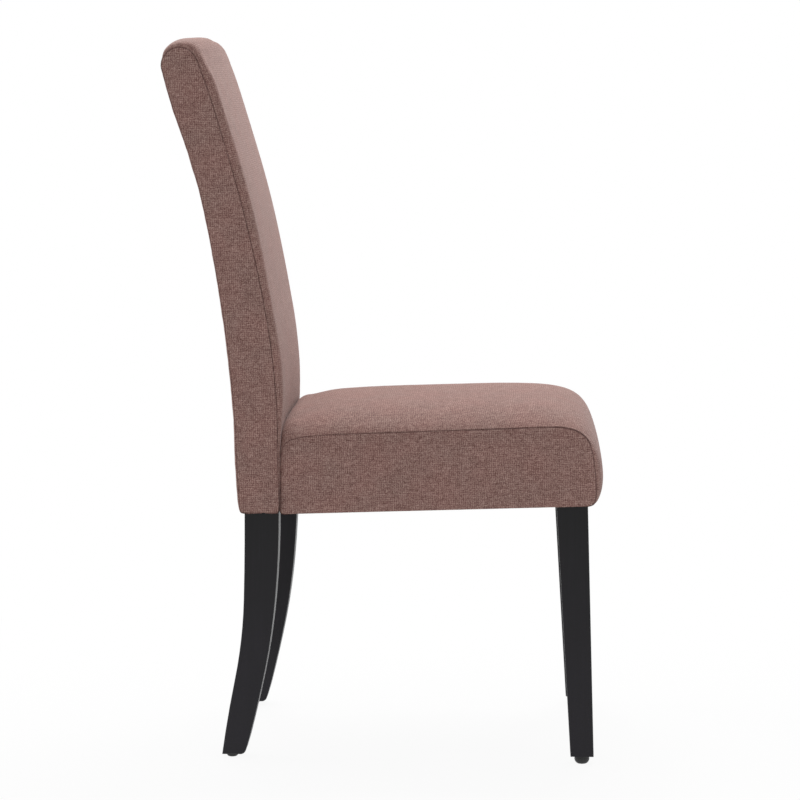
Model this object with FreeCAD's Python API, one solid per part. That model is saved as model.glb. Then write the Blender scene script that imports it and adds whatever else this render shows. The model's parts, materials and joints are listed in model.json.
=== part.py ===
import FreeCAD, Part
import math
import os
from FreeCAD import Vector

# Upholstered dining chair, in millimetres.
# X runs across the chair, the chair faces -Y, and Z is up. The origin is on the
# floor under the middle of the overall box. A place in this file is given as
# across, forward and height, where forward is -Y. A side outline is a list of
# runs, each two points for a line or three for an arc, as (forward, height).

# Overall sizes
overall_height = 1000.0
overall_depth = 609.4
seat_width = 450.0
back_width = 398.0

# Cloth, padding and clearances
cloth = 1.2
soft_gap = 0.3
side_padding = 4.5
rear_padding = 10.0
overrun = 20.0

# Seat cushion
seat_base_front = 363.0
seat_base_rear = 345.5
seat_side_height_front = 109.8
seat_side_height_rear = 107.2
seat_crown_front = 30.5
seat_crown_rear = 35.0
seat_front_swell = 15.0
front_tuck_side = 2.5
front_tuck_middle = 10.0
front_bulge_height = 26.0
front_lean_side = 5.5
front_lean_middle = 26.0
front_roll_side = 48.0
front_roll_middle = 70.0
rear_roll_side = 24.0
rear_roll_middle = 46.0
bulge_radius = 60.0
lower_edge_radius = 5.0
tuck_radius = 2.0
flange_width = 14.0

# Back pad
back_base = 347.4
back_lean = 132.5
back_thickness = 57.3
back_crown = 13.0
top_crown = 14.7
front_top_turn = 70.5
front_top_radius_side = 26.1
front_top_radius_middle = 37.1
rear_top_radius = 24.5
rear_start_lean = 13.0
back_front_flange = 18.0
back_rear_flange = 25.0

# Height, lean, crown and setback shares of the back's front line, from the top down
front_station_shares = (
    (0.5271, 0.209, 0.90, 1.0),
    (0.2421, 0.0128, 0.60, 1.0),
    (0.1718, 0.0, 0.185, 0.62),
    (0.0, 0.0, 0.185, 0.27),
)
# Height and lean shares of the back's rear line, from the top down
rear_station_shares = (
    (0.9292, 0.7374),
    (0.8679, 0.6453),
    (0.6978, 0.3826),
    (0.4626, 0.1736),
    (0.2038, 0.0355),
    (0.0, 0.0),
)

# How a pad swells across its width: angles of the stations, and how square it is
station_angles = (90.0, 75.0, 60.0, 40.0, 20.0)
seat_squareness = 4.0
back_squareness = 8.0

# Rear posts
post_width = 36.0
post_setback = 6.0
crest_drop = 27.0
rear_leg_top = 47.6
rear_leg_foot = 31.5
leg_sweep = 33.2
leg_ease = 2.0
toe_radius = 8.0
rebate_depth = 0.4
# Height, sweep and taper shares of the sabre leg, from the seat down
sabre_station_shares = (
    (0.640, 0.054, 0.247),
    (0.308, 0.452, 0.506),
    (0.071, 0.877, 0.81),
)

# Back rails and boards
back_rail_thickness = 22.0
back_board_thickness = 3.0
crest_rail_height = 68.0
back_rail_height = 54.0
bottom_rail_height = 78.0
middle_rail_share = 0.52
lower_rail_share = 0.25
dowel_radius = 4.0
dowel_length = 32.0

# Seat frame
rail_height = 70.0
rail_thickness = 22.0
deck_thickness = 9.0
deck_hole_radius = 13.0
deck_hole_reach = 75.0
rear_block_leg = 56.0
front_block_depth = 18.0
dust_cover_thickness = 0.6
dust_cover_inset = 8.0
dust_cover_gap = 2.0

# Front legs
front_leg_top = 43.0
front_leg_foot = 32.0
front_leg_setback = 11.0
front_leg_rake = 10.2

# Glides
front_glide_radius = 10.2
front_glide_height = 12.0
front_glide_rim = 3.5
rear_glide_radius = 7.8
rear_glide_height = 6.0
rear_glide_rim = 2.2
glide_sole_share = 0.62
glide_bulge_shares = (0.72, 0.3)
rear_glide_from_heel = 13.0
glide_nail_radius = 1.5
glide_nail_length = 18.0

# Bolts and screws
bolt_radius = 4.0
bolt_clearance = 0.5
bolt_head_height = 5.3
bolt_head_flats = 13.0
nut_height = 6.5
washer_radius = 9.0
washer_thickness = 1.6
hanger_depth = 50.0
hanger_tail = 5.0
seat_bolt_gap = 9.0
seat_bolt_height_shares = (0.30, 0.72)
tee_nut_radius = 10.0
tee_nut_flange = 1.5
tee_nut_barrel_radius = 5.5
tee_nut_barrel = 12.0
screw_radius = 2.0
screw_head_radius = 4.0
screw_head_height = 3.0
screw_length = 35.0
block_screw_seat = 16.0
block_screw_aside_share = 1.4
rear_block_screw_shares = (0.3, 0.7)
front_block_screw_share = 0.51
deck_screw_length = 32.0

# Staples of the dust cover
staple_crown = 10.0
staple_leg = 8.0
staple_wire = 0.9
staple_count_side = 7
staple_count_front = 6
staple_edge = 4.0

# Places worked out from the sizes
top_forward = rear_top_radius - overall_depth / 2
top_height = overall_height - top_crown
back_foot = top_forward + back_lean
foot_crown_share = front_station_shares[-1][2]
seat_rear = back_foot + back_crown * foot_crown_share + soft_gap
seat_front = overall_depth / 2 - seat_front_swell
back_half = back_width / 2
inner_inset = cloth + soft_gap
core_top = top_height - crest_drop
post_outer = back_half - side_padding
post_inner = post_outer - post_width
rail_lift = cloth + soft_gap
rail_top = rail_lift + rail_height
deck_top = rail_top + deck_thickness
leg_front = seat_front - front_leg_setback
leg_rear = leg_front - front_leg_top


# Small geometry helpers

def place(across, forward, height):
    return Vector(across, -forward, height)


def flipped(path):
    return [tuple(reversed(run)) for run in reversed(path)]


def polyline(points):
    return [(start, end) for start, end in zip(points, points[1:])]


def closed_polygon(points):
    return polyline(list(points) + [points[0]])


def arc_chain(points, lean):
    """Tangent arcs through the points. lean is the first arc's direction, (forward, height)."""
    path = []
    for start, end in zip(points, points[1:]):
        chord_forward = end[0] - start[0]
        chord_height = end[1] - start[1]
        cross = chord_forward * lean[1] - chord_height * lean[0]
        dot = chord_forward * lean[0] + chord_height * lean[1]
        turn = math.atan2(cross, dot)
        bow = math.tan(turn / 2) / 2
        middle = (
            (start[0] + end[0]) / 2 - chord_height * bow,
            (start[1] + end[1]) / 2 + chord_forward * bow,
        )
        straight = abs(turn) < math.radians(0.05)
        path.append((start, end) if straight else (start, middle, end))
        chord_square = chord_forward ** 2 + chord_height ** 2
        lean = (
            2 * dot * chord_forward / chord_square - lean[0],
            2 * dot * chord_height / chord_square - lean[1],
        )
    return path


def rounded(points, radii):
    """An open polyline with an arc of the given radius at each inner point."""
    path = []
    last = points[0]
    for before, corner, after, radius in zip(points, points[1:], points[2:], radii):
        to_before = (before[0] - corner[0], before[1] - corner[1])
        to_after = (after[0] - corner[0], after[1] - corner[1])
        before_length = math.hypot(*to_before)
        after_length = math.hypot(*to_after)
        unit_before = (to_before[0] / before_length, to_before[1] / before_length)
        unit_after = (to_after[0] / after_length, to_after[1] / after_length)
        dot = unit_before[0] * unit_after[0] + unit_before[1] * unit_after[1]
        half_angle = math.acos(max(-1.0, min(1.0, dot))) / 2
        reach = radius / math.tan(half_angle)
        bisector = (unit_before[0] + unit_after[0], unit_before[1] + unit_after[1])
        bisector_length = math.hypot(*bisector)
        depth = radius / math.sin(half_angle) - radius
        arc_start = (corner[0] + unit_before[0] * reach, corner[1] + unit_before[1] * reach)
        arc_end = (corner[0] + unit_after[0] * reach, corner[1] + unit_after[1] * reach)
        arc_middle = (
            corner[0] + bisector[0] / bisector_length * depth,
            corner[1] + bisector[1] / bisector_length * depth,
        )
        path.append((last, arc_start))
        path.append((arc_start, arc_middle, arc_end))
        last = arc_end
    path.append((last, points[-1]))
    return path


def ribbon(outer, inner):
    """The closed outline of a sheet between two open paths that run the same way."""
    start_cap = (inner[0][0], outer[0][0])
    end_cap = (outer[-1][-1], inner[-1][-1])
    return list(outer) + [end_cap] + flipped(inner) + [start_cap]


def wire(path, across):
    """A wire of the path in the upright plane where across(forward) gives X."""
    edges = []
    for run in path:
        corners = [place(across(forward), forward, height) for forward, height in run]
        curve = Part.Arc(*corners) if len(run) == 3 else Part.LineSegment(*corners)
        edges.append(curve.toShape())
    return Part.Wire(edges)


def forward_at(path, height):
    """Where a nearly upright path is at a height."""
    for run in path:
        low, high = sorted((run[0][1], run[-1][1]))
        if low <= height <= high and high > low:
            if len(run) == 2:
                share = (height - run[0][1]) / (run[1][1] - run[0][1])
                return run[0][0] + (run[1][0] - run[0][0]) * share
            total = 0.0
            for this in run:
                weight = 1.0
                for other in run:
                    if other is not this:
                        weight *= (height - other[1]) / (this[1] - other[1])
                total += this[0] * weight
            return total
    return path[-1][-1][0]


def slab(path, left, right):
    """The path's outline, extruded across from left to right."""
    face = Part.Face(wire(path, lambda forward: left))
    return face.extrude(Vector(right - left, 0, 0))


def front_slab(outline, rear, front):
    """An outline of (across, height) points, extruded forward."""
    points = [place(across, rear, height) for across, height in outline]
    face = Part.Face(Part.makePolygon(points + [points[0]]))
    return face.extrude(place(0, front - rear, 0))


def stations(squareness):
    """Places across as shares of the half width, each with its share of the swell."""
    near = []
    for angle in station_angles:
        place_share = math.sin(math.radians(angle)) ** (2 / squareness)
        near.append((place_share, math.cos(math.radians(angle))))
    left = [(-place_share, swell) for place_share, swell in near]
    return left + [(0.0, 1.0)] + near[::-1]


def swelling_loft(outline, half, squareness):
    """Lofts outline(swell share) from side to side; half(forward) is the half width."""
    wires = []
    for place_share, swell in stations(squareness):
        wires.append(wire(outline(swell), lambda forward: place_share * half(forward)))
    return Part.makeLoft(wires, True, False)


def cylinder(centre, direction, radius, length):
    return Part.makeCylinder(radius, length, centre, direction)


def hexagon(centre, direction, flats, length):
    """A hexagonal head or nut: flats is the size over its flats."""
    solid = Part.makeCylinder(flats, length, centre, direction)
    upright = Vector(0, 0, 1)
    side = direction.cross(upright).normalize()
    for index in range(6):
        turn = FreeCAD.Rotation(direction, 60 * index)
        outward = turn.multVec(side)
        tangent = direction.cross(outward)
        corner = centre + outward * (flats / 2) - tangent * flats - direction * flats
        box = Part.makeBox(flats * 2, flats * 2, flats * 2 + length)
        axes = FreeCAD.Matrix(
            outward.x, tangent.x, direction.x, corner.x,
            outward.y, tangent.y, direction.y, corner.y,
            outward.z, tangent.z, direction.z, corner.z,
            0, 0, 0, 1)
        solid = solid.cut(box.transformGeometry(axes))
    return solid


def mirrored(shape):
    return shape.mirror(Vector(0, 0, 0), Vector(1, 0, 0))


def save(name, shape):
    solids = shape.Solids
    kept = solids[0] if len(solids) == 1 else Part.makeCompound(solids)
    kept.exportStep("parts/" + name + ".step")
    print(name, len(solids), round(kept.Volume), kept.isValid())


def save_pair(name, left_shape):
    """The chair's left is +X."""
    save(name + "_left", left_shape)
    save(name + "_right", mirrored(left_shape))


# Seat outlines

def along_seat(rear_value, front_value, forward):
    """A value that changes steadily from the seat's rear to its front."""
    share = (forward - seat_rear) / (seat_front - seat_rear)
    return rear_value + (front_value - rear_value) * share


def seat_floor(forward):
    return along_seat(seat_base_rear, seat_base_front, forward)


def seat_half(forward):
    return along_seat(back_width / 2, seat_width / 2, forward)


def seat_top(forward, swell):
    side = along_seat(seat_side_height_rear, seat_side_height_front, forward)
    crown = along_seat(seat_crown_rear, seat_crown_front, forward)
    return seat_floor(forward) + side + crown * swell


def seat_corners(swell, inset):
    """Rear foot, front foot, bulge, front corner and rear corner of the seat's outline."""
    front = seat_front + seat_front_swell * swell - inset
    tuck = front_tuck_side + (front_tuck_middle - front_tuck_side) * swell
    rear = seat_rear + inset
    corner = front - front_lean_side - (front_lean_middle - front_lean_side) * swell
    return (
        (rear, seat_floor(rear) + inset),
        (front - tuck, seat_floor(front) + inset),
        (front, seat_floor(front) + front_bulge_height),
        (corner, seat_top(corner, swell) - inset),
        (rear, seat_top(rear, swell) - inset),
    )


def seat_wrap(swell, inset):
    """The open line of the seat's top cover, from under the front rail to under the rear one."""
    rear_foot, front_foot, bulge, front_corner, rear_corner = seat_corners(swell, inset)
    front_tab = leg_front - flange_width
    rear_tab = seat_rear + cloth + flange_width
    points = (
        (front_tab, seat_floor(front_tab) + inset), front_foot, bulge,
        front_corner, rear_corner, rear_foot, (rear_tab, seat_floor(rear_tab) + inset),
    )
    front_roll = front_roll_side + (front_roll_middle - front_roll_side) * swell
    rear_roll = rear_roll_side + (rear_roll_middle - rear_roll_side) * swell
    radii = (lower_edge_radius, bulge_radius, front_roll, rear_roll, tuck_radius)
    return rounded(points, [radius - inset for radius in radii])


def seat_outline(swell, inset):
    """The wrap, closed along the seat's floor."""
    wrap = seat_wrap(swell, inset)
    return wrap + [(wrap[-1][-1], wrap[0][0])]


def seat_prism(plan, low, high):
    """A block over a plan of (across, forward) points, between two heights over the seat's floor."""
    loops = []
    for lift in (low, high):
        points = [place(across, forward, seat_floor(forward) + lift) for across, forward in plan]
        loops.append(Part.makePolygon(points + [points[0]]))
    return Part.makeLoft(loops, True, True)


def side_edge(forward, depth):
    return (seat_half(forward) - depth, forward)


# Back outlines

def top_point(swell, inset):
    return (top_forward, top_height + top_crown * swell - inset)


def back_front_line(swell, inset):
    """From the top of the roll down the front to the foot."""
    radius_growth = front_top_radius_middle - front_top_radius_side
    radius = front_top_radius_side + radius_growth * swell - inset
    turn = math.radians(front_top_turn)
    top = top_point(swell, inset)
    points = [top, (top[0] + radius * math.sin(turn), top[1] - radius * (1 - math.cos(turn)))]
    for height_share, lean_share, crown_share, setback_share in front_station_shares:
        forward = back_foot - back_lean * lean_share + back_crown * crown_share * swell - inset
        points.append((forward, back_base + (top_height - back_base) * height_share))
    return arc_chain(points[:-1], (1.0, 0.0)) + [(points[-2], points[-1])]


def back_rear_line(inset):
    """From under the roll down the rear to the foot."""
    points = []
    for height_share, lean_share in rear_station_shares:
        forward = back_foot - back_thickness - back_lean * lean_share + inset
        points.append((forward, back_base + (top_height - back_base) * height_share))
    start = math.radians(rear_start_lean)
    return arc_chain(points, (math.sin(start), -math.cos(start)))


def back_rear_roll(swell, inset):
    top = top_point(swell, inset)
    radius = rear_top_radius - inset
    return arc_chain([top, (top[0] - radius, top[1] - radius)], (-1.0, 0.0))


def back_rear_full(swell, inset, gap=0.0):
    """The rear line, with the short arc up to the end of the roll, less a gap."""
    roll_end = back_rear_roll(swell, inset)[-1][-1]
    line = back_rear_line(inset)
    return arc_chain([(roll_end[0], roll_end[1] - gap), line[0][0]], (0.0, -1.0)) + line


def back_outline(swell, inset):
    front = back_front_line(swell, inset)
    rear = back_rear_roll(swell, inset) + back_rear_full(swell, inset)
    return front + [(front[-1][-1], rear[-1][-1])] + flipped(rear)


def back_wrap(swell, inset):
    """The open line of the front cover, from its tab under the back, up and over the top."""
    front = back_front_line(swell, inset)
    foot = front[-1][-1]
    lifted_foot = (foot[0], foot[1] + inset)
    front[-1] = (front[-1][0], lifted_foot)
    tab = (back_foot - back_front_flange, back_base + inset)
    return [(tab, lifted_foot)] + flipped(front) + back_rear_roll(swell, inset)


def outside_wrap(swell, inset):
    """The open line of the outside back cover, from the roll down to its tab under the back."""
    rear = back_rear_full(swell, inset, soft_gap)
    foot = rear[-1][-1]
    lifted_foot = (foot[0], foot[1] + inset)
    rear[-1] = rear[-1][:-1] + (lifted_foot,)
    tab = (back_foot - back_thickness + rear_padding + back_rear_flange, back_base + inset)
    return rear + [(lifted_foot, tab)]


def core_front_line(shift):
    """The front of the posts and of the board between them, from the crest down."""
    seam = back_front_line(0.0, 0.0)
    points = [(forward_at(seam, core_top) - post_setback + shift, core_top)]
    for height_share, lean_share, crown_share, setback_share in front_station_shares:
        forward = back_foot - back_lean * lean_share - post_setback * setback_share + shift
        points.append((forward, back_base + (top_height - back_base) * height_share))
    start = math.radians(90 - front_top_turn)
    chain = arc_chain(points[:-1], (math.sin(start), -math.cos(start)))
    return chain + [(points[-2], points[-1])]


def core_rear_line(shift):
    """The rear of the posts, from the crest down."""
    line = back_rear_line(rear_padding + shift)
    upper = line[0][0]
    reach = (core_top - upper[1]) * math.tan(math.radians(rear_start_lean))
    return [((upper[0] - reach, core_top), upper)] + line


def seat_cushion(inset):
    return swelling_loft(
        lambda swell: seat_outline(swell, inset),
        lambda forward: seat_half(forward) - inset, seat_squareness)


def back_cushion(inset):
    return swelling_loft(
        lambda swell: back_outline(swell, inset),
        lambda forward: back_half - inset, back_squareness)


# Rear posts

def sabre_leg():
    """The leg below the back's lower edge, with eased edges and a rounded toe."""
    rear_top = (back_foot - back_thickness + rear_padding, back_base - rebate_depth)
    front_top = (rear_top[0] + rear_leg_top, rear_top[1])
    leg_height = rear_top[1] - rear_glide_height
    taper = rear_leg_top - rear_leg_foot
    rear_points = [rear_top]
    front_points = [front_top]
    for height_share, sweep_share, taper_share in sabre_station_shares:
        rear = rear_top[0] - leg_sweep * sweep_share
        height = rear_glide_height + leg_height * height_share
        rear_points.append((rear, height))
        front_points.append((rear + rear_leg_top - taper * taper_share, height))
    heel = (rear_top[0] - leg_sweep, rear_glide_height)
    rear_points[-1] = heel
    toe = (heel[0] + rear_leg_foot, rear_glide_height)
    front_line = arc_chain(front_points, (0.0, -1.0))
    rear_line = arc_chain(rear_points, (0.0, -1.0))
    foot = rounded([front_points[-1], toe, heel], [toe_radius])
    outline = front_line + foot + flipped(rear_line) + [(rear_top, front_top)]
    leg = slab(outline, post_inner, post_outer)
    long_edges = []
    for edge in leg.Edges:
        box = edge.BoundBox
        if box.XLength < leg_ease and box.ZMax < rear_top[1] + soft_gap and box.ZLength > leg_ease:
            long_edges.append(edge)
    return leg.makeFillet(leg_ease, long_edges)


def rear_post():
    front = core_front_line(0.0)
    rear = core_rear_line(0.0)
    top = (rear[0][0], front[0][0])
    front_foot = front[-1][-1]
    rear_foot = rear[-1][-1]
    foot_height = back_base - rebate_depth
    lower = [
        (front_foot, (front_foot[0], foot_height)),
        ((front_foot[0], foot_height), (rear_foot[0], foot_height)),
        ((rear_foot[0], foot_height), rear_foot),
    ]
    stile = slab(front + lower + flipped(rear) + [top], post_inner, post_outer)
    return stile.fuse(sabre_leg()).removeSplitter()


def back_rail(low, high):
    """A rail behind the board, following the posts' front."""
    front = core_front_line(-back_board_thickness)
    rear = core_front_line(-back_board_thickness - back_rail_thickness)
    rail = slab(ribbon(front, rear), -post_inner, post_inner)
    return rail.common(height_band(low, high))


def dowels_for(low, high):
    """Four dowels, two at each end of the rail."""
    front = core_front_line(-back_board_thickness - back_rail_thickness / 2)
    pins = []
    for height in (low + (high - low) / 4, high - (high - low) / 4):
        for side in (-1, 1):
            start = side * post_inner - dowel_length / 2
            centre = place(start, forward_at(front, height), height)
            pins.append(cylinder(centre, Vector(1, 0, 0), dowel_radius, dowel_length))
    return pins


# Front legs

def front_leg():
    """A square block inside the seat frame, with the tapered and raked leg below it."""
    foot_front = leg_front + front_leg_rake
    foot_rear = foot_front - front_leg_foot
    shoulder = seat_floor(leg_front)
    side = closed_polygon([
        (foot_rear, front_glide_height), (foot_front, front_glide_height),
        (leg_front, shoulder), (leg_rear, seat_floor(leg_rear)),
    ])
    outer = leg_outer()
    inner = outer - front_leg_top
    face = [
        (outer - front_leg_foot, front_glide_height), (outer, front_glide_height),
        (outer, shoulder), (inner, shoulder),
    ]
    across_face = front_slab(face, leg_rear - overrun, foot_front + overrun)
    leg = slab(side, inner - overrun, outer + overrun).common(across_face)
    eased = [edge for edge in leg.Edges if edge.BoundBox.ZLength > front_leg_top]
    leg = leg.makeFillet(leg_ease, eased)
    return leg.fuse(front_leg_block(0.0, 0.0, rail_top)).removeSplitter()


def leg_outer():
    return seat_half(leg_rear) - side_padding


def front_leg_block(gap, low, high):
    """The square of a front leg inside the seat, widened by gap."""
    outer = leg_outer() + gap
    inner = leg_outer() - front_leg_top - gap
    plan = [(inner, leg_rear - gap), (outer, leg_rear - gap),
            (outer, leg_front + gap), (inner, leg_front + gap)]
    return seat_prism(plan, low, high)


def glide(radius, height, rim):
    """A domed glide with a flat sole, standing on the floor at the origin."""
    sole = radius * glide_sole_share
    out_share, up_share = glide_bulge_shares
    bulge = (sole + (radius - sole) * out_share, (height - rim) * up_share)
    shoulder = (radius, height - rim)
    outline = [
        ((0, 0), (sole, 0)), ((sole, 0), bulge, shoulder), (shoulder, (radius, height)),
        ((radius, height), (0, height)), ((0, height), (0, 0)),
    ]
    edges = []
    for run in outline:
        corners = [Vector(out, 0, up) for out, up in run]
        curve = Part.Arc(*corners) if len(run) == 3 else Part.LineSegment(*corners)
        edges.append(curve.toShape())
    profile = Part.Face(Part.Wire(edges))
    return profile.revolve(Vector(0, 0, 0), Vector(0, 0, 1), 360).Solids[0]


# Build and save

def build_back():
    rails = {
        "crest_rail": (core_top - crest_rail_height, core_top),
        "middle_back_rail": rail_span(middle_rail_share, back_rail_height),
        "lower_back_rail": rail_span(lower_rail_share, back_rail_height),
        "bottom_back_rail": (
            back_base + cloth + soft_gap, back_base + cloth + soft_gap + bottom_rail_height),
    }
    pins = []
    for low, high in rails.values():
        pins += dowels_for(low, high)
    dowels = Part.makeCompound(pins)
    bolts = seat_bolt_parts()
    post = rear_post().cut(dowels).cut(glide_nail(post_glide_place(), rear_glide_height))
    save_pair("rear_post", post)
    for name, (low, high) in rails.items():
        rail = back_rail(low, high).cut(dowels)
        if name == "bottom_back_rail":
            rail = rail.cut(bolts["holes"]).cut(bolts["nuts"])
        save(name, rail)
    save("back_dowels", dowels)

    board_low = back_base + cloth + soft_gap
    whole_front = core_front_line(0.0)
    whole_rear = core_front_line(-back_board_thickness)
    board = slab(ribbon(whole_front, whole_rear), -post_inner, post_inner)
    board = board.common(height_band(board_low, core_top))
    save("back_board", board.cut(bolts["holes"]))

    posts_rear = back_rear_line(rear_padding)
    board_rear = back_rear_line(rear_padding - back_board_thickness)
    outside_board = slab(ribbon(posts_rear, board_rear), -post_outer, post_outer)
    outside_board = outside_board.common(height_band(board_low, core_top))
    save("outside_back_board", outside_board)
    wadding = slab(ribbon(board_rear, back_rear_line(inner_inset)), -post_outer, post_outer)
    save("outside_back_wadding", wadding.common(height_band(board_low, core_top)))

    front = core_front_line(0.0)
    rear = core_rear_line(0.0)
    side_outline = front + [(front[-1][-1], rear[-1][-1])] + flipped(rear) + [
        (rear[0][0], front[0][0])]
    side_pad = slab(side_outline, post_outer, back_half - inner_inset)
    save_pair("back_side_wadding", side_pad.common(height_band(board_low, core_top)))

    core_front = core_front_line(soft_gap)
    far_rear = -overall_depth
    crest = (core_front[0][0][0], core_top + soft_gap)
    core = slab([(crest, core_front[0][0])] + core_front + [
        (core_front[-1][-1], (far_rear, back_base)), ((far_rear, back_base), (far_rear, crest[1])),
        ((far_rear, crest[1]), crest)], -back_width, back_width)
    foam = back_cushion(inner_inset).cut(core)
    foam_foot = back_base + (top_height - back_base) * front_station_shares[2][0]
    save("back_foam", foam.common(height_band(foam_foot, overall_height)))

    half = back_half - cloth
    front_cover = swelling_loft(
        lambda swell: ribbon(back_wrap(swell, 0.0), back_wrap(swell, cloth)),
        lambda forward: half, back_squareness)
    outside_cover = swelling_loft(
        lambda swell: ribbon(outside_wrap(swell, 0.0), outside_wrap(swell, cloth)),
        lambda forward: half, back_squareness)
    notches = post_notches()
    save("back_front_cover", front_cover.cut(notches).cut(bolts["holes"]))
    save("outside_back_cover", outside_cover.cut(notches))
    side_cover = slab(back_outline(0.0, 0.0), half, back_half)
    save_pair("back_side_cover", side_cover)

    save("seat_bolts", bolts["bolts"])
    save("seat_bolt_washers", bolts["washers"])
    save("seat_tee_nuts", bolts["nuts"].cut(bolts["bolts"]))


def rail_span(share, height):
    low = back_base + (core_top - back_base) * share
    return (low, low + height)


def height_band(low, high):
    band = Part.makeBox(overall_depth * 2, overall_depth * 2, high - low)
    band.translate(Vector(-overall_depth, -overall_depth, low))
    return band


def post_notches():
    """Clears the covers' tabs round the posts, where these come out of the back."""
    foot_setback = post_setback * front_station_shares[-1][3]
    front = back_foot - foot_setback + soft_gap
    rear = back_foot - back_thickness + rear_padding - soft_gap
    notch = front_slab([
        (post_inner - soft_gap, back_base - overrun), (post_outer + soft_gap, back_base - overrun),
        (post_outer + soft_gap, back_base + overrun), (post_inner - soft_gap, back_base + overrun),
    ], rear, front)
    return Part.makeCompound([notch, mirrored(notch)])


def seat_bolt_parts():
    """Bolts through the seat's rear rail into tee nuts in the back's bottom rail."""
    bolts, washers, nuts, holes = [], [], [], []
    rearward = place(0, -1, 0)
    rail_front = seat_rear + cloth + soft_gap + rail_thickness
    block_end = side_edge(rail_front, side_padding + rail_thickness + rear_block_leg)[0]
    bolt_place = block_end - washer_radius - seat_bolt_gap
    back_front = core_front_line(-back_board_thickness)
    for share in seat_bolt_height_shares:
        height = seat_floor(seat_rear) + rail_lift + rail_height * share
        rail_rear = forward_at(back_front, height) - back_rail_thickness
        for side in (-1, 1):
            across = side * bolt_place
            face = place(across, rail_front, height)
            washer_face = place(across, rail_front + washer_thickness, height)
            washer = cylinder(face, place(0, 1, 0), washer_radius, washer_thickness)
            washers.append(washer.cut(cylinder(
                place(across, rail_front - overrun, height), place(0, 1, 0),
                bolt_radius, 2 * overrun)))
            head = hexagon(washer_face, place(0, 1, 0), bolt_head_flats, bolt_head_height)
            length = rail_front + washer_thickness - rail_rear
            shank = cylinder(washer_face, rearward, bolt_radius, length)
            bolts.append(head.fuse(shank).removeSplitter())
            holes.append(cylinder(washer_face, rearward, bolt_radius + bolt_clearance,
                                  washer_thickness + rail_front - rail_rear + overrun))
            flange = cylinder(place(across, rail_rear, height), rearward,
                              tee_nut_radius, tee_nut_flange)
            barrel = cylinder(place(across, rail_rear, height), place(0, 1, 0),
                              tee_nut_barrel_radius, tee_nut_barrel)
            nuts.append(flange.fuse(barrel).removeSplitter())
    return {
        "bolts": Part.makeCompound(bolts),
        "washers": Part.makeCompound(washers),
        "nuts": Part.makeCompound(nuts),
        "holes": Part.makeCompound(holes),
    }


def glide_nail(foot_place, height):
    across, forward = foot_place
    start = place(across, forward, height / 2)
    return cylinder(start, Vector(0, 0, 1), glide_nail_radius, glide_nail_length + height / 2)


def post_glide_place():
    heel = back_foot - back_thickness + rear_padding - leg_sweep
    return ((post_inner + post_outer) / 2, heel + rear_glide_from_heel)


def front_glide_place():
    centre = leg_front + front_leg_rake - front_leg_foot / 2
    return (leg_outer() - front_leg_foot / 2, centre)


def build_glides():
    nails = []
    sizes = {
        "front_glide": (front_glide_place(), front_glide_radius, front_glide_height,
                        front_glide_rim),
        "rear_glide": (post_glide_place(), rear_glide_radius, rear_glide_height, rear_glide_rim),
    }
    for name, (foot_place, radius, height, rim) in sizes.items():
        nail = glide_nail(foot_place, height)
        nails += [nail, mirrored(nail)]
        foot = glide(radius, height, rim)
        foot.translate(place(foot_place[0], foot_place[1], 0))
        save_pair(name, foot.cut(nail))
    save("glide_nails", Part.makeCompound(nails))


def front_block_plan():
    """The glued block behind a front leg, round the leg's inner corner."""
    inner = leg_outer() - front_leg_top
    rail_face = leg_front - rail_thickness
    side_depth = side_padding + rail_thickness
    setback = front_block_depth / math.sqrt(2)
    middle = (inner - setback, leg_rear - setback)
    flare = (seat_width - back_width) / (seat_front - seat_rear) / 2
    reach = (side_edge(middle[1], side_depth)[0] - middle[0]) / (1 + flare)
    toe_reach = rail_face - middle[1]
    return [side_edge(leg_rear, side_depth), (middle[0] + reach, middle[1] - reach),
            (middle[0] - toe_reach, rail_face), (inner, rail_face), (inner, leg_rear)], middle


def hanger_parts():
    """Hanger bolts through the block's diagonal face into the leg, with washers and nuts."""
    bolts, washers, nuts, holes = [], [], [], []
    middle = front_block_plan()[1]
    outward = place(-1, -1, 0).normalize()
    inward = outward * -1
    depth = hanger_depth
    for share in seat_bolt_height_shares:
        height = seat_floor(middle[1]) + rail_lift + rail_height * share
        face = place(middle[0], middle[1], height)
        washer = cylinder(face, outward, washer_radius, washer_thickness)
        nut_face = face + outward * washer_thickness
        nut = hexagon(nut_face, outward, bolt_head_flats, nut_height)
        tail = face + outward * (washer_thickness + nut_height + hanger_tail)
        bolt = cylinder(tail, inward, bolt_radius,
                        washer_thickness + nut_height + hanger_tail + depth)
        hole = cylinder(face + outward * overrun, inward, bolt_radius, overrun + depth)
        bolts += [bolt, mirrored(bolt)]
        washers += [washer.cut(bolt), mirrored(washer.cut(bolt))]
        nuts += [nut.cut(bolt), mirrored(nut.cut(bolt))]
        holes += [hole, mirrored(hole)]
    return {
        "bolts": Part.makeCompound(bolts),
        "washers": Part.makeCompound(washers),
        "nuts": Part.makeCompound(nuts),
        "holes": Part.makeCompound(holes),
    }


def screw(head_place, direction, length):
    head = cylinder(head_place, direction, screw_head_radius, screw_head_height)
    shank = cylinder(head_place, direction, screw_radius, length)
    return head.fuse(shank).removeSplitter()


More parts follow.
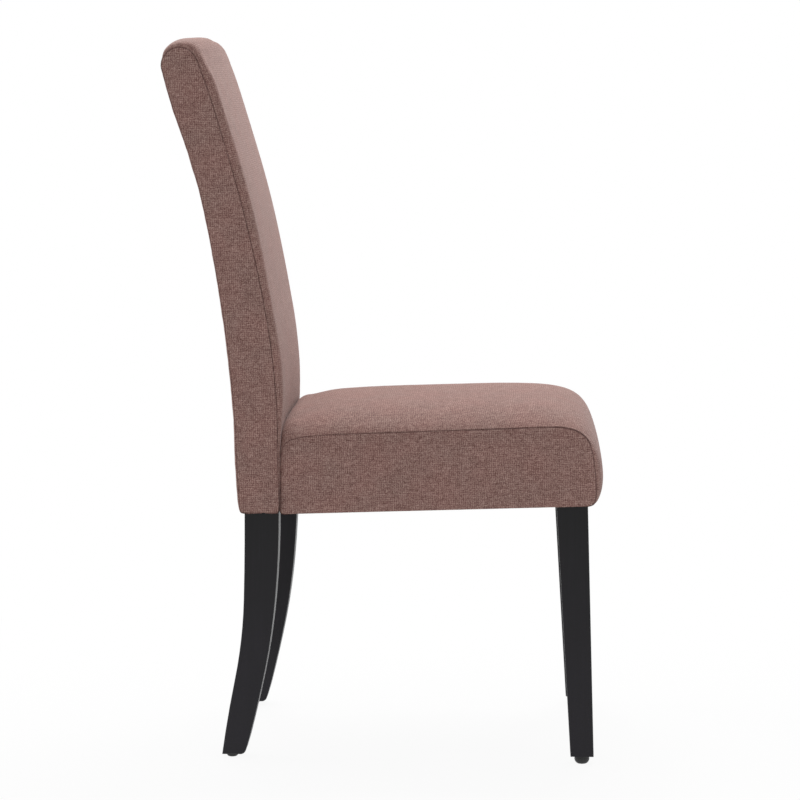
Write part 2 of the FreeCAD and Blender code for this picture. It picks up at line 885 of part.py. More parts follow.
def block_screws():
    """Two screws through each corner block, one into each rail it is glued to."""
    side_depth = side_padding + rail_thickness + block_screw_seat
    rear_face = seat_rear + cloth + soft_gap + rail_thickness
    aside = block_screw_seat * block_screw_aside_share
    plan = front_block_plan()[0]
    start, toe = plan[1], plan[2]
    forward_way = place(0, 1, 0)
    sideways = Vector(1, 0, 0)
    rear_side = rear_face + aside
    front_side = start[1] + aside
    rear_low_share, rear_high_share = rear_block_screw_shares
    spots = [
        (side_edge(rear_side, side_depth)[0], rear_side, rear_low_share, sideways),
        (side_edge(rear_face, side_depth - block_screw_seat + aside)[0],
         rear_face + block_screw_seat, rear_high_share, forward_way * -1),
        (side_edge(front_side, side_depth)[0], front_side, front_block_screw_share, sideways),
        (toe[0] + aside, toe[1] - block_screw_seat, front_block_screw_share, forward_way),
    ]
    screws, wells = [], []
    for across, forward, height_share, direction in spots:
        height = seat_floor(forward) + rail_lift + rail_height * height_share
        centre = place(across, forward, height)
        piece = screw(centre, direction, screw_length)
        well = cylinder(centre, direction * -1, screw_head_radius, rear_block_leg)
        screws += [piece, mirrored(piece)]
        wells += [well, mirrored(well)]
    return Part.makeCompound(screws), Part.makeCompound(wells)


def deck_screws():
    screws = []
    side_depth = side_padding + rail_thickness / 2
    ends = (leg_rear - rear_block_leg, seat_rear + rear_block_leg * 2)
    for forward in ends + ((ends[0] + ends[1]) / 2,):
        across = side_edge(forward, side_depth)[0]
        top = place(across, forward, seat_floor(forward) + deck_top)
        piece = screw(top, Vector(0, 0, -1), deck_screw_length)
        screws += [piece, mirrored(piece)]
    return Part.makeCompound(screws)


def staples(points, along):
    """Staples under the dust cover, with crowns along the given direction."""
    pieces = []
    crown = staple_crown / 2
    up = staple_leg
    wire_size = staple_wire
    outline = [
        (-crown, -wire_size), (crown, -wire_size), (crown, up), (crown - wire_size, up),
        (crown - wire_size, 0), (wire_size - crown, 0), (wire_size - crown, up), (-crown, up),
    ]
    across_way = along.cross(Vector(0, 0, 1))
    for point in points:
        base = point - across_way * (wire_size / 2)
        corners = [base + along * x + Vector(0, 0, z) for x, z in outline]
        face = Part.Face(Part.makePolygon(corners + [corners[0]]))
        pieces.append(face.extrude(across_way * wire_size))
    return pieces


def dust_cover_parts():
    """The cloth under the seat and its staples."""
    front = leg_front - dust_cover_inset
    leg_back = leg_rear - dust_cover_gap
    leg_side = leg_outer() - front_leg_top - dust_cover_gap
    rear = seat_rear + dust_cover_inset
    half_plan = [
        (0, rear), side_edge(rear, dust_cover_inset), side_edge(leg_back, dust_cover_inset),
        (leg_side, leg_back), (leg_side, front), (0, front),
    ]
    plan = half_plan + [(-x, f) for x, f in half_plan[::-1] if x > 0]
    cover = seat_prism(plan, -dust_cover_thickness, 0)
    pieces = []
    side_start = rear + flange_width + staple_crown
    for index in range(staple_count_side):
        share = index / (staple_count_side - 1)
        forward = side_start + (leg_back - staple_crown - side_start) * share
        across = side_edge(forward, dust_cover_inset + staple_edge)[0]
        point = place(across, forward, seat_floor(forward) - dust_cover_thickness)
        new = staples([point], place(0, 1, 0))
        pieces += new + [mirrored(piece) for piece in new]
    rear_reach = side_edge(rear, dust_cover_inset)[0]
    for forward, reach in ((front - staple_edge, leg_side), (rear + staple_edge, rear_reach)):
        for index in range(staple_count_front):
            share = index / (staple_count_front - 1)
            across = (reach - staple_crown) * (2 * share - 1)
            point = place(across, forward, seat_floor(forward) - dust_cover_thickness)
            pieces += staples([point], Vector(1, 0, 0))
    return cover, Part.makeCompound(pieces)


def build_seat():
    hangers = hanger_parts()
    bolts = seat_bolt_parts()
    screws, wells = block_screws()
    deck_fixings = deck_screws()
    dust_cover, staple_set = dust_cover_parts()
    nails = glide_nail(front_glide_place(), front_glide_height)

    leg = front_leg().cut(hangers["holes"]).cut(nails)
    save_pair("front_leg", leg)
    save("hanger_bolts", hangers["bolts"])
    save("hanger_bolt_washers", hangers["washers"])
    save("hanger_bolt_nuts", hangers["nuts"])

    rear_face = seat_rear + cloth + soft_gap
    rear_inside = rear_face + rail_thickness
    front_inside = leg_front - rail_thickness
    leg_side = leg_outer() - front_leg_top
    wood_cuts = Part.makeCompound([staple_set, deck_fixings, screws])
    front_rail = seat_prism(
        [(-leg_side, front_inside), (leg_side, front_inside), (leg_side, leg_front),
         (-leg_side, leg_front)], rail_lift, rail_top)
    save("seat_front_rail", front_rail.cut(wood_cuts))
    rear_left = side_edge(rear_face, side_padding)
    inner_left = side_edge(rear_inside, side_padding)
    rear_rail = seat_prism(
        [(-rear_left[0], rear_face), rear_left, inner_left, (-inner_left[0], rear_inside)],
        rail_lift, rail_top)
    save("seat_rear_rail", rear_rail.cut(wood_cuts).cut(bolts["holes"]))
    side_rail = seat_prism(
        [side_edge(rear_inside, side_padding), side_edge(leg_rear, side_padding),
         side_edge(leg_rear, side_padding + rail_thickness),
         side_edge(rear_inside, side_padding + rail_thickness)], rail_lift, rail_top)
    save_pair("seat_side_rail", side_rail.cut(wood_cuts))

    front_block = seat_prism(front_block_plan()[0], rail_lift, rail_top)
    front_block = front_block.cut(hangers["holes"]).cut(screws).cut(wells)
    save_pair("corner_block_front", front_block)
    corner = side_edge(rear_inside, side_padding + rail_thickness)
    side_end = side_edge(rear_inside + rear_block_leg, side_padding + rail_thickness)
    rear_block = seat_prism(
        [corner, side_end, (corner[0] - rear_block_leg, rear_inside)], rail_lift, rail_top)
    save_pair("corner_block_rear", rear_block.cut(screws).cut(wells))
    save("corner_block_screws", screws)

    deck_plan = [side_edge(rear_face, side_padding), side_edge(leg_rear, side_padding),
                 (leg_outer(), leg_front)]
    plan = deck_plan + [(-x, f) for x, f in deck_plan[::-1]]
    deck = seat_prism(plan, rail_top, deck_top).cut(deck_fixings)
    centre = (leg_front + seat_rear) / 2
    for across, forward in ((-1, 1), (1, 1), (1, -1), (-1, -1)):
        spot = place(across * deck_hole_reach, centre + forward * deck_hole_reach, 0)
        deck = deck.cut(cylinder(spot, Vector(0, 0, 1), deck_hole_radius, overall_height))
    save("seat_deck", deck)
    save("deck_screws", deck_fixings)

    inside = seat_cushion(inner_inset)
    wide = [(-seat_width, -overall_depth), (seat_width, -overall_depth),
            (seat_width, overall_depth), (-seat_width, overall_depth)]
    upper = seat_prism(wide, deck_top + soft_gap, overall_height)
    save("seat_foam", inside.common(upper))
    front_zone = seat_prism(
        [(-seat_width, leg_front + soft_gap), (seat_width, leg_front + soft_gap),
         (seat_width, overall_depth), (-seat_width, overall_depth)], 0, deck_top)
    save("seat_front_pad", inside.common(front_zone))
    pad = seat_prism(
        [side_edge(rear_face, side_padding), side_edge(leg_front, side_padding),
         side_edge(leg_front, inner_inset), side_edge(rear_face, inner_inset)],
        rail_lift, deck_top)
    save_pair("seat_side_wadding", pad)

    top_cover = swelling_loft(
        lambda swell: ribbon(seat_wrap(swell, 0.0), seat_wrap(swell, cloth)),
        lambda forward: seat_half(forward) - cloth, seat_squareness)
    notch = front_leg_block(soft_gap, -overrun, flange_width)
    top_cover = top_cover.cut(notch).cut(mirrored(notch)).cut(staple_set)
    save("seat_top_cover", top_cover.cut(bolts["holes"]))
    outline = seat_outline(0.0, 0.0)
    sheet = Part.makeLoft([
        wire(outline, lambda forward: seat_half(forward)),
        wire(outline, lambda forward: seat_half(forward) - cloth)], True, True)
    tab_rear = seat_rear + cloth + flange_width + soft_gap
    tab_front = leg_rear - soft_gap
    tab = seat_prism(
        [side_edge(tab_rear, cloth / 2), side_edge(tab_front, cloth / 2),
         side_edge(tab_front, side_padding + flange_width),
         side_edge(tab_rear, side_padding + flange_width)], 0, cloth)
    side_cover = sheet.fuse(tab).removeSplitter()
    save_pair("seat_side_cover", side_cover.cut(staple_set))
    save("dust_cover", dust_cover.cut(staple_set))
    save("dust_cover_staples", staple_set)


os.makedirs("parts", exist_ok=True)
build_back()
build_seat()
build_glides()
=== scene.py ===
import json
import math

import bpy
import numpy as np
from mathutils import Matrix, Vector
from mathutils.kdtree import KDTree


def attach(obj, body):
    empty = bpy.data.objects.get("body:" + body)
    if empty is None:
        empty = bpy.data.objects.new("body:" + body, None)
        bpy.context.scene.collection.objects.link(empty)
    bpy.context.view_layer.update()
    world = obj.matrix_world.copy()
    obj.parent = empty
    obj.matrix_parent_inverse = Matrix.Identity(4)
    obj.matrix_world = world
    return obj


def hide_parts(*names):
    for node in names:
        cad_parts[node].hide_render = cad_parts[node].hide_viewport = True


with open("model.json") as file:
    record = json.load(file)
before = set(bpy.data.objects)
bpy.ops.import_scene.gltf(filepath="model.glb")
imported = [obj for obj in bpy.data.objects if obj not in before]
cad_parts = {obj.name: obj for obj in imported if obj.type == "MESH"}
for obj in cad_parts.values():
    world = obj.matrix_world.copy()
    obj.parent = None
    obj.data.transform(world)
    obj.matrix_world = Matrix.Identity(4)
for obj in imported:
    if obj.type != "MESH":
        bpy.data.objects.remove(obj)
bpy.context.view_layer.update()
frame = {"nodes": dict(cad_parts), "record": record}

# Upholstered dining chair. Outlines are written in millimetres as (forward, height), where
# forward is -Y, and become metres when a mesh is made.

MM = 0.001

# The cloth pieces and their seams. Painted shade darkens a seam, fading out between two
# distances from it, and its pulls are strongest at PUCKER_FROM_SEAM and have several wavelengths.
CLOTH = 1.2
SEAM_ROUND = 0.5
SEAM_DEPTH = 2.6
PAINTED_SHADE_REACH = (0.2, 0.75)
ON_SEAM = 0.001
PUCKER_DEPTH = 0.35
PUCKER_WAVES = (17.0, 26.0, 41.0, 67.0)
PUCKER_PHASES = (0, 6.28)
PUCKER_FROM_SEAM = 5.0
PUCKER_SPREAD = 6.0

# The padding and its simulation. A pair gives the distances from a seam, or the heights,
# between which a hold or a swell sets in. The lengths from SIM_VOXEL on are in metres.
PAD_SHRINK = 2.5
SEAT_SOFT = (4.0, 34.0)
BACK_SOFT = (13.0, 44.0)
SIDE_SOFT = (1.0, 28.0)
SEAT_HELD_BELOW = (360.0, 400.0)
BACK_HELD_BELOW = (350.0, 380.0)
SEAT_HELD_AT_SEAM = (4.0, 16.0)
BACK_HELD_AT_SEAM = (4.0, 14.0)
SWELL_SHARE = 0.3
SIDE_SHARE = 0.5
SIM_VOXEL = 0.006
SIM_CAP = 0.0045
SIM_FRAMES = 20
SIM_SETTINGS = {
    "quality": 4, "use_pressure": True, "uniform_pressure_force": 4.0,
    "tension_stiffness": 22.0, "compression_stiffness": 22.0, "shear_stiffness": 8.0,
    "bending_stiffness": 1.2,
}
LEAST_HOLD = 0.01
CARRY_NEIGHBOURS = 8
CARRY_SOFTNESS = 0.002

# Plan of the chair
SEAT_HALF_FRONT = 225.0
SEAT_HALF_REAR = 199.0
SEAT_FRONT = 289.7
SEAT_REAR = -145.0
SEAT_FLOOR_FRONT = 363.0
SEAT_FLOOR_REAR = 345.5
BACK_HALF = 199.0
SEAT_SIDE_BULGE = 6.8
SEAT_SIDE_TURN = 19.0
SEAT_SIDE_INSET = 5.3
BACK_SIDE_BULGE = 1.0

# The legs and posts, as (inner face, outer face) across and as places forward, and the
# tabs that are turned in under the rails between them
LEG_PLAN = (174.3, 217.3)
POST_PLAN = (158.5, 194.5)
LEG_REAR = 235.7
LEG_FRONT = 278.7
TAB_FRONT = 276.0
TAB_INNER_LAP = 6.0
TAB_OUTER_LAP = 4.0
TAB_LEG_GAP = 1.0
TAB_REAR_GAP = 14.0
# Rows of folded cloth, as (how far in, how far down)
SIDE_TAB = ((17.0, 0.0), (10.2, 0.0), (4.25, 0.0), (3.0, 0.0), (1.4, -0.3))
BACK_HEM = ((3.6, 0.3), (1.8, 0.4), (1.0, 0.35), (0.4, 0.1))

# The lining under the seat
LINING_THICKNESS = 0.6
LINING_INSET = 8.0
LINING_CLEAR = 2.0
LINING_FLAT = 20.0
LINING_SAG = 4.5
LINING_SAG_REACH = 160.0
LINING_PULL = 0.5
PULL_FROM_EDGE = 44.0
PULL_SLANT = 0.9
STAPLE_SPACING = 54.0
LINING_ROWS = 90
LINING_ROWS_BY_LEG = 12
LINING_COLUMNS = 44
LINING_COLUMNS_BY_LEG = 8

# The seat's top cover, from its tab under the front rail, up, over and down the rear.
# Each point is given at the side seam and again at the middle of the seat.
SEAT_SEAM = (
    (264.7, 362.0), (281.0, 362.8), (286.8, 366.0), (289.6, 376.5), (289.4, 395.0),
    (288.0, 412.2), (283.9, 437.0), (276.6, 454.4), (263.2, 464.8), (246.8, 469.2),
    (225.0, 469.8), (170.0, 467.3), (60.0, 462.3), (-50.0, 457.2), (-95.0, 454.6),
    (-118.0, 451.6), (-131.5, 447.6), (-141.0, 439.4), (-144.9, 425.0), (-145.0, 380.0),
    (-145.0, 348.5), (-142.5, 345.8), (-129.8, 346.1),
)
SEAT_MIDDLE = (
    (264.7, 362.0), (286.0, 363.0), (292.6, 366.4), (298.4, 376.5), (301.4, 391.0),
    (300.6, 412.0), (295.0, 438.5), (286.6, 460.4), (273.8, 477.8), (255.6, 489.0),
    (231.0, 496.0), (183.0, 500.0), (60.0, 498.6), (-50.0, 494.2), (-92.0, 489.8),
    (-118.0, 482.4), (-133.0, 478.5), (-141.5, 471.5), (-144.8, 460.0), (-145.0, 380.0),
    (-145.0, 348.5), (-142.5, 345.8), (-129.8, 346.1),
)
# The back's front cover, from its tab under the back, up and over to the seam behind.
BACK_SEAM = (
    (-165.7, 347.4), (-149.6, 347.6), (-147.9, 349.8), (-147.9, 400.0), (-148.2, 455.0),
    (-149.2, 490.0), (-151.4, 524.0), (-157.2, 579.5), (-164.8, 627.6), (-175.5, 682.5),
    (-190.2, 748.3), (-205.0, 805.6), (-222.0, 864.1), (-231.9, 898.0), (-241.4, 927.9),
    (-248.1, 946.8), (-252.6, 958.5), (-256.8, 969.8), (-262.6, 978.6), (-270.9, 984.2),
    (-280.4, 985.6), (-292.2, 982.2), (-300.0, 975.2), (-303.6, 967.0), (-304.4, 959.0),
)
BACK_MIDDLE = (
    (-165.7, 347.4), (-149.0, 347.6), (-147.0, 349.8), (-145.4, 400.0), (-144.2, 455.0),
    (-141.8, 490.0), (-141.6, 525.0), (-146.8, 580.5), (-155.0, 629.0), (-164.8, 684.5),
    (-178.0, 750.5), (-192.5, 808.0), (-209.8, 867.0), (-220.6, 901.5), (-230.2, 932.5),
    (-236.2, 951.5), (-240.2, 964.5), (-243.8, 977.4), (-248.8, 989.8), (-257.6, 998.4),
    (-272.0, 1001.3), (-289.0, 998.8), (-300.6, 990.0), (-304.4, 976.0), (-304.7, 959.0),
)
# The outside back, from the seam across its top down to its tab under the back.
OUTSIDE_SEAM = (
    (-304.4, 959.0), (-301.0, 947.0), (-296.0, 928.0), (-288.0, 900.7), (-278.6, 873.6),
    (-269.1, 846.3), (-261.0, 819.0), (-253.1, 791.8), (-244.2, 751.0), (-233.9, 696.0),
    (-225.0, 641.0), (-217.4, 586.0), (-211.5, 531.0), (-206.8, 475.5), (-204.9, 420.0),
    (-202.4, 378.0), (-200.0, 350.2), (-198.4, 347.8), (-170.0, 347.4),
)
OUTSIDE_MIDDLE = (
    (-304.7, 959.0), (-303.2, 947.0), (-298.6, 928.0), (-290.4, 900.7), (-281.2, 873.6),
    (-271.9, 846.3), (-263.8, 819.0), (-255.9, 791.8), (-246.9, 751.0), (-236.6, 696.0),
    (-228.0, 641.0), (-220.6, 586.0), (-214.9, 531.0), (-210.5, 475.5), (-208.9, 420.0),
    (-206.4, 378.0), (-202.8, 350.2), (-200.6, 347.8), (-170.0, 347.4),
)
# A side panel's corners, bottom front, top front, top rear and bottom rear, as numbers of
# its seam's points. The back's seam goes on from the front cover to the outside back, whose
# own points are tab from OUTSIDE_FOOT on.
SEAT_CORNERS = (1, 7, 16, 21)
BACK_CORNERS = (1, 17, 24, 41)
OUTSIDE_FOOT = 17

# How finely things are sampled
SAMPLES_PER_SPAN = 8
SECTION_SAMPLES = 400
SEAM_SAMPLES = 900
LINE_BATCH = 64
SEAT_PANEL = (72, 40)
BACK_PANEL = (30, 130)
END_CROWDING = 1.7
TINY = 1e-9

# Places along a row, as distances in from its edge
EDGE_STEPS = (0.0, 0.1, 0.3, 0.6, 0.9, 1.3, 2.2, 3.6, 5.2, 7.2, 9.2, 11.2, 13.2, 15.5, 19.0, 24.0)
ROW_STEPS = 20

# A cover's cross-section between its side seams: (power across, power outwards, share of
# the rise that its corners make, how much fuller the right side is). The rest of the rise
# is a gentle crown.
SEAT_FRONT_SECTION = (12.0, 2.0, 0.86, 0.0)
SEAT_TOP_SECTION = (6.8, 1.0, 0.72, 0.0)
BACK_FRONT_SECTION = (40.0, 2.6, 0.84, 0.3)
BACK_CREST_SECTION = (26.0, 2.4, 0.52, 0.08)
OUTSIDE_SECTION = (60.0, 2.4, 0.85, 0.0)
SEAT_SECTION_CHANGE = (425.0, 462.0)
BACK_SECTION_CHANGE = (930.0, 980.0)


# Geometry

def smooth_step(value, low, high):
    share = np.clip((value - low) / (high - low), 0, 1)
    return share * share * (3 - 2 * share)


def spline(points):
    """Points on a centripetal Catmull-Rom curve through the given ones."""
    known = np.array(points, float)
    first = 2 * known[0] - known[1]
    last = 2 * known[-1] - known[-2]
    known = np.vstack([first, known, last])
    made = []
    for a, b, c, d in zip(known, known[1:], known[2:], known[3:]):
        t0 = 0.0
        t1 = t0 + np.linalg.norm(b - a) ** 0.5
        t2 = t1 + np.linalg.norm(c - b) ** 0.5
        t3 = t2 + np.linalg.norm(d - c) ** 0.5
        for t in np.linspace(t1, t2, SAMPLES_PER_SPAN, endpoint=False):
            ab = (t1 - t) / (t1 - t0) * a + (t - t0) / (t1 - t0) * b
            bc = (t2 - t) / (t2 - t1) * b + (t - t1) / (t2 - t1) * c
            cd = (t3 - t) / (t3 - t2) * c + (t - t2) / (t3 - t2) * d
            abc = (t2 - t) / (t2 - t0) * ab + (t - t0) / (t2 - t0) * bc
            bcd = (t3 - t) / (t3 - t1) * bc + (t - t1) / (t3 - t1) * cd
            made.append((t2 - t) / (t2 - t1) * abc + (t - t1) / (t2 - t1) * bcd)
    made.append(known[-2])
    return np.array(made)


def lengths(points, axis=0):
    """How far along a line, or along each line of a grid, its points are."""
    steps = np.linalg.norm(np.diff(points, axis=axis), axis=-1)
    return np.insert(np.cumsum(steps, axis=axis), 0, 0.0, axis=axis)


def at_lengths(points, wanted):
    """The points that lie the wanted distances along a line."""
    along = lengths(points)
    return np.stack([np.interp(wanted, along, column) for column in points.T], 1)


def resample(points, count):
    """The same line with evenly spaced points."""
    return at_lengths(points, np.linspace(0, lengths(points)[-1], count))


def along_seat(forward, rear, front):
    """A measure that changes evenly from the seat's rear to its front."""
    share = (forward - SEAT_REAR) / (SEAT_FRONT - SEAT_REAR)
    return rear + (front - rear) * share


def seat_half(forward):
    return along_seat(forward, SEAT_HALF_REAR, SEAT_HALF_FRONT)


def seat_seam_half(forward):
    return seat_half(forward) - SEAT_SIDE_INSET


def seat_floor(forward):
    return along_seat(forward, SEAT_FLOOR_REAR, SEAT_FLOOR_FRONT)


def back_half(forward):
    return np.full_like(forward, BACK_HALF)


def section_shape(across_power, out_power, corner_share):
    """Places across, from 1 at a side seam to 0 at the middle, and the rise at each."""
    angles = np.radians(np.linspace(90, 0, SECTION_SAMPLES))
    u = np.sin(angles) ** (2 / across_power)
    corner = np.cos(angles) ** (2 / out_power)
    corner[0] = 0.0
    return u, corner_share * corner + (1 - corner_share) * (1 - u ** 2)


def cover_grid(seam, middle, half, sections, change):
    """Rows of points (across, forward, height) and each point's distance from the side seams.

    sections are the cross-sections below and above the two heights in change.
    """
    below, above = np.array(sections)
    rows, distances = [], []
    for edge, centre in zip(spline(seam), spline(middle)):
        *powers, right_fuller = below + (above - below) * smooth_step(edge[1], *change)
        u, out = section_shape(*powers)
        halves = []
        for side in (-1, 1):
            rise = out * (1 - right_fuller * side * u)
            path = edge + (centre - edge) * rise[:, None]
            section = np.column_stack([side * u * half(path[:, 0]), path])
            inner_steps = np.linspace(EDGE_STEPS[-1], lengths(section)[-1], ROW_STEPS)[1:]
            steps = np.concatenate([EDGE_STEPS, inner_steps])
            halves.append((at_lengths(section, steps), steps))
        (right, right_steps), (left, left_steps) = halves
        rows.append(np.vstack([right, left[-2::-1]]))
        distances.append(np.concatenate([right_steps, left_steps[-2::-1]]))
    return np.array(rows), np.array(distances)


def distance_to_line(points, line):
    """How far each point is from the nearest point of a densely sampled line."""
    flat = points.reshape(-1, points.shape[-1])
    best = np.full(len(flat), np.inf)
    for start in range(0, len(line), LINE_BATCH):
        part = line[start:start + LINE_BATCH]
        best = np.minimum(best, np.linalg.norm(flat[:, None] - part[None], axis=2).min(1))
    return best.reshape(points.shape[:-1])


def outward_normals(grid):
    """The normals at a grid's points, turned away from its middle."""
    along = np.gradient(grid, axis=0)
    across = np.gradient(grid, axis=1)
    normal = np.cross(across, along)
    normal = normal / np.maximum(np.linalg.norm(normal, axis=2, keepdims=True), TINY)
    leaning = ((grid - grid.mean(axis=(0, 1))) * normal).sum()
    return normal if leaning >= 0 else -normal


def seam_shade(distance):
    """How much painted shade a cloth gets beside its seam, from 0 to 1."""
    return 1 - smooth_step(distance, *PAINTED_SHADE_REACH)


def tuck(distance):
    """How deep a cloth's edge dips at a distance from its seam."""
    share = np.clip(distance / SEAM_ROUND, 0, 1)
    return SEAM_ROUND * (1 - np.sqrt(1 - (1 - share) ** 2))


def to_metres(grid):
    """(across, forward, height) in millimetres as x, y, z in metres."""
    return np.stack([grid[..., 0], -grid[..., 1], grid[..., 2]], -1) * MM


def new_object(name, data):
    """An object in the scene, for a mesh, a light or a camera."""
    obj = bpy.data.objects.new(name, data)
    bpy.context.scene.collection.objects.link(obj)
    return obj


def grid_cells(rows, columns):
    """The four points' numbers of each cell of a grid."""
    index = np.arange(rows * columns).reshape(rows, columns)
    return np.stack([index[:-1, :-1], index[:-1, 1:], index[1:, 1:], index[1:, :-1]], -1)


def grid_mesh(name, grid, uv, shade, keep):
    """A mesh of quads over a grid in metres. keep says which cells stay, and shade, from 0
    to 1, how much painted shade each point gets in a seam or a fold."""
    rows, columns = grid.shape[:2]
    mesh = bpy.data.meshes.new(name)
    cells = grid_cells(rows, columns)[keep]
    used = np.unique(cells)
    renumber = np.zeros(rows * columns, int)
    renumber[used] = np.arange(len(used))
    cells = renumber[cells]
    mesh.from_pydata(grid.reshape(-1, 3)[used].tolist(), [], cells.tolist())
    layer = mesh.uv_layers.new(name="cloth_metres")
    flat_uv = uv.reshape(-1, 2)[used]
    layer.data.foreach_set("uv", flat_uv[cells.ravel()].astype(np.float32).ravel())
    # The painted shade in seams and folds, read by the cloth's shader
    painted_shade_layer = mesh.attributes.new("seam_shade", "FLOAT", "POINT")
    painted_shade_layer.data.foreach_set("value", shade.ravel()[used].astype(np.float32))
    mesh.polygons.foreach_set("use_smooth", np.ones(len(mesh.polygons), bool))
    mesh.update()
    return new_object(name, mesh)


# Shader maths

WHITE = (1.0, 1.0, 1.0, 1.0)


class Value:
    """A socket in a node tree, on which arithmetic adds Math nodes."""

    def __init__(self, recipe, socket):
        self.recipe = recipe
        self.socket = socket

    def math(self, operation, *others):
        values = dict(enumerate((self, *others)))
        return self.recipe.node("ShaderNodeMath", {"operation": operation}, values)

    def __add__(self, other):
        return self.math("ADD", other)

    def __sub__(self, other):
        return self.math("SUBTRACT", other)

    def __rsub__(self, other):
        return self.recipe.node("ShaderNodeMath", {"operation": "SUBTRACT"}, {0: other, 1: self})

    def __mul__(self, other):
        return self.math("MULTIPLY", other)

    __radd__ = __add__
    __rmul__ = __mul__


def set_stops(ramp, stops):
    """Fills a colour ramp from pairs of position and colour."""
    while len(ramp.elements) < len(stops):
        ramp.elements.new(0.5)
    for element, (position, colour) in zip(ramp.elements, stops):
        element.position = position
        element.color = colour


class Recipe:
    """Builds the nodes of one material, or of the world."""

    def __init__(self, owner):
        owner.use_nodes = True
        self.owner = owner
        self.tree = owner.node_tree
        self.tree.nodes.clear()

    def node(self, kind, settings=None, inputs=None, output=0):
        """Adds a node with its settings, then the values or links of its sockets."""
        made = self.tree.nodes.new(kind)
        for key, value in (settings or {}).items():
            if key == "stops":
                set_stops(made.color_ramp, value)
            else:
                setattr(made, key, value)
        for key, value in (inputs or {}).items():
            if isinstance(value, Value):
                self.tree.links.new(value.socket, made.inputs[key])
            else:
                made.inputs[key].default_value = value
        return Value(self, made.outputs[output] if made.outputs else None)

    def place(self):
        """A point's place in its own piece, in metres."""
        return self.node("ShaderNodeTexCoord", output="Object")

    def coordinate(self, point, axis):
        return self.node("ShaderNodeSeparateXYZ", {}, {"Vector": point}, axis)

    def point(self, across, up):
        """Two numbers as a place in the plane."""
        return self.node("ShaderNodeCombineXYZ", {}, {"X": across, "Y": up})

    def noise(self, source, scale, detail=2.0, roughness=0.5):
        return self.node("ShaderNodeTexNoise", {"noise_dimensions": "3D"}, {
            "Vector": source, "Scale": scale, "Detail": detail, "Roughness": roughness})

    def streaks(self, source, scale, detail, roughness):
        """Noise scaled apart along the axes, so that it runs one way."""
        stretched = self.node("ShaderNodeMapping", {}, {"Vector": source, "Scale": scale})
        return self.noise(stretched, 1.0, detail, roughness)

    def ramp(self, factor, *stops):
        return self.node("ShaderNodeValToRGB", {"stops": stops}, {"Fac": factor})

    def mix(self, factor, first, second, blend="MIX"):
        """Two colours mixed. The Mix node's sockets share names, so they go by number."""
        settings = {"data_type": "RGBA", "blend_type": blend}
        return self.node("ShaderNodeMix", settings, {0: factor, 6: first, 7: second}, 2)

    def bump(self, height, strength, distance):
        return self.node("ShaderNodeBump", {}, {
            "Strength": strength, "Distance": distance, "Height": height})

    def finish(self, surface, kind="ShaderNodeOutputMaterial"):
        self.node(kind, {}, {"Surface": surface})
        return self.owner

    def finish_principled(self, inputs):
        return self.finish(self.node("ShaderNodeBsdfPrincipled", {}, inputs))


def linear(red, green, blue):
    """A colour given in 0 to 255 steps, in the shader's own scale."""
    return (*(round((c / 255) ** 2.2, 4) for c in (red, green, blue)), 1.0)


# Materials. Their lengths are in metres, and the weights in a sum say how much each
# pattern counts.

CLOTH_DARK = linear(112, 82, 77)
CLOTH_MID = linear(153, 121, 114)
CLOTH_PALE = linear(194, 163, 154)
# Colour of the painted shade in seams and folds
PAINTED_SHADE_COLOUR = linear(88, 62, 58)
THREAD_PITCH = 0.0009
THREAD_PAIR = 0.0029
RIB_WANDER = 9.0
SLUB_THICKNESS = 0.0014
SLUB_LENGTH = 0.012
SHORT_SLUB = 0.0055
YARNS_APART = 7.317
CLOUD_SIZE = 0.013
# Size of the noise that breaks up the painted shade along the seams
SHADE_BREAKUP_SIZE = 0.006
DYE_SIZE = 0.05
# Height below which the legs get a painted reflection of the floor
FLOOR_REFLECTION_TOP = 0.34


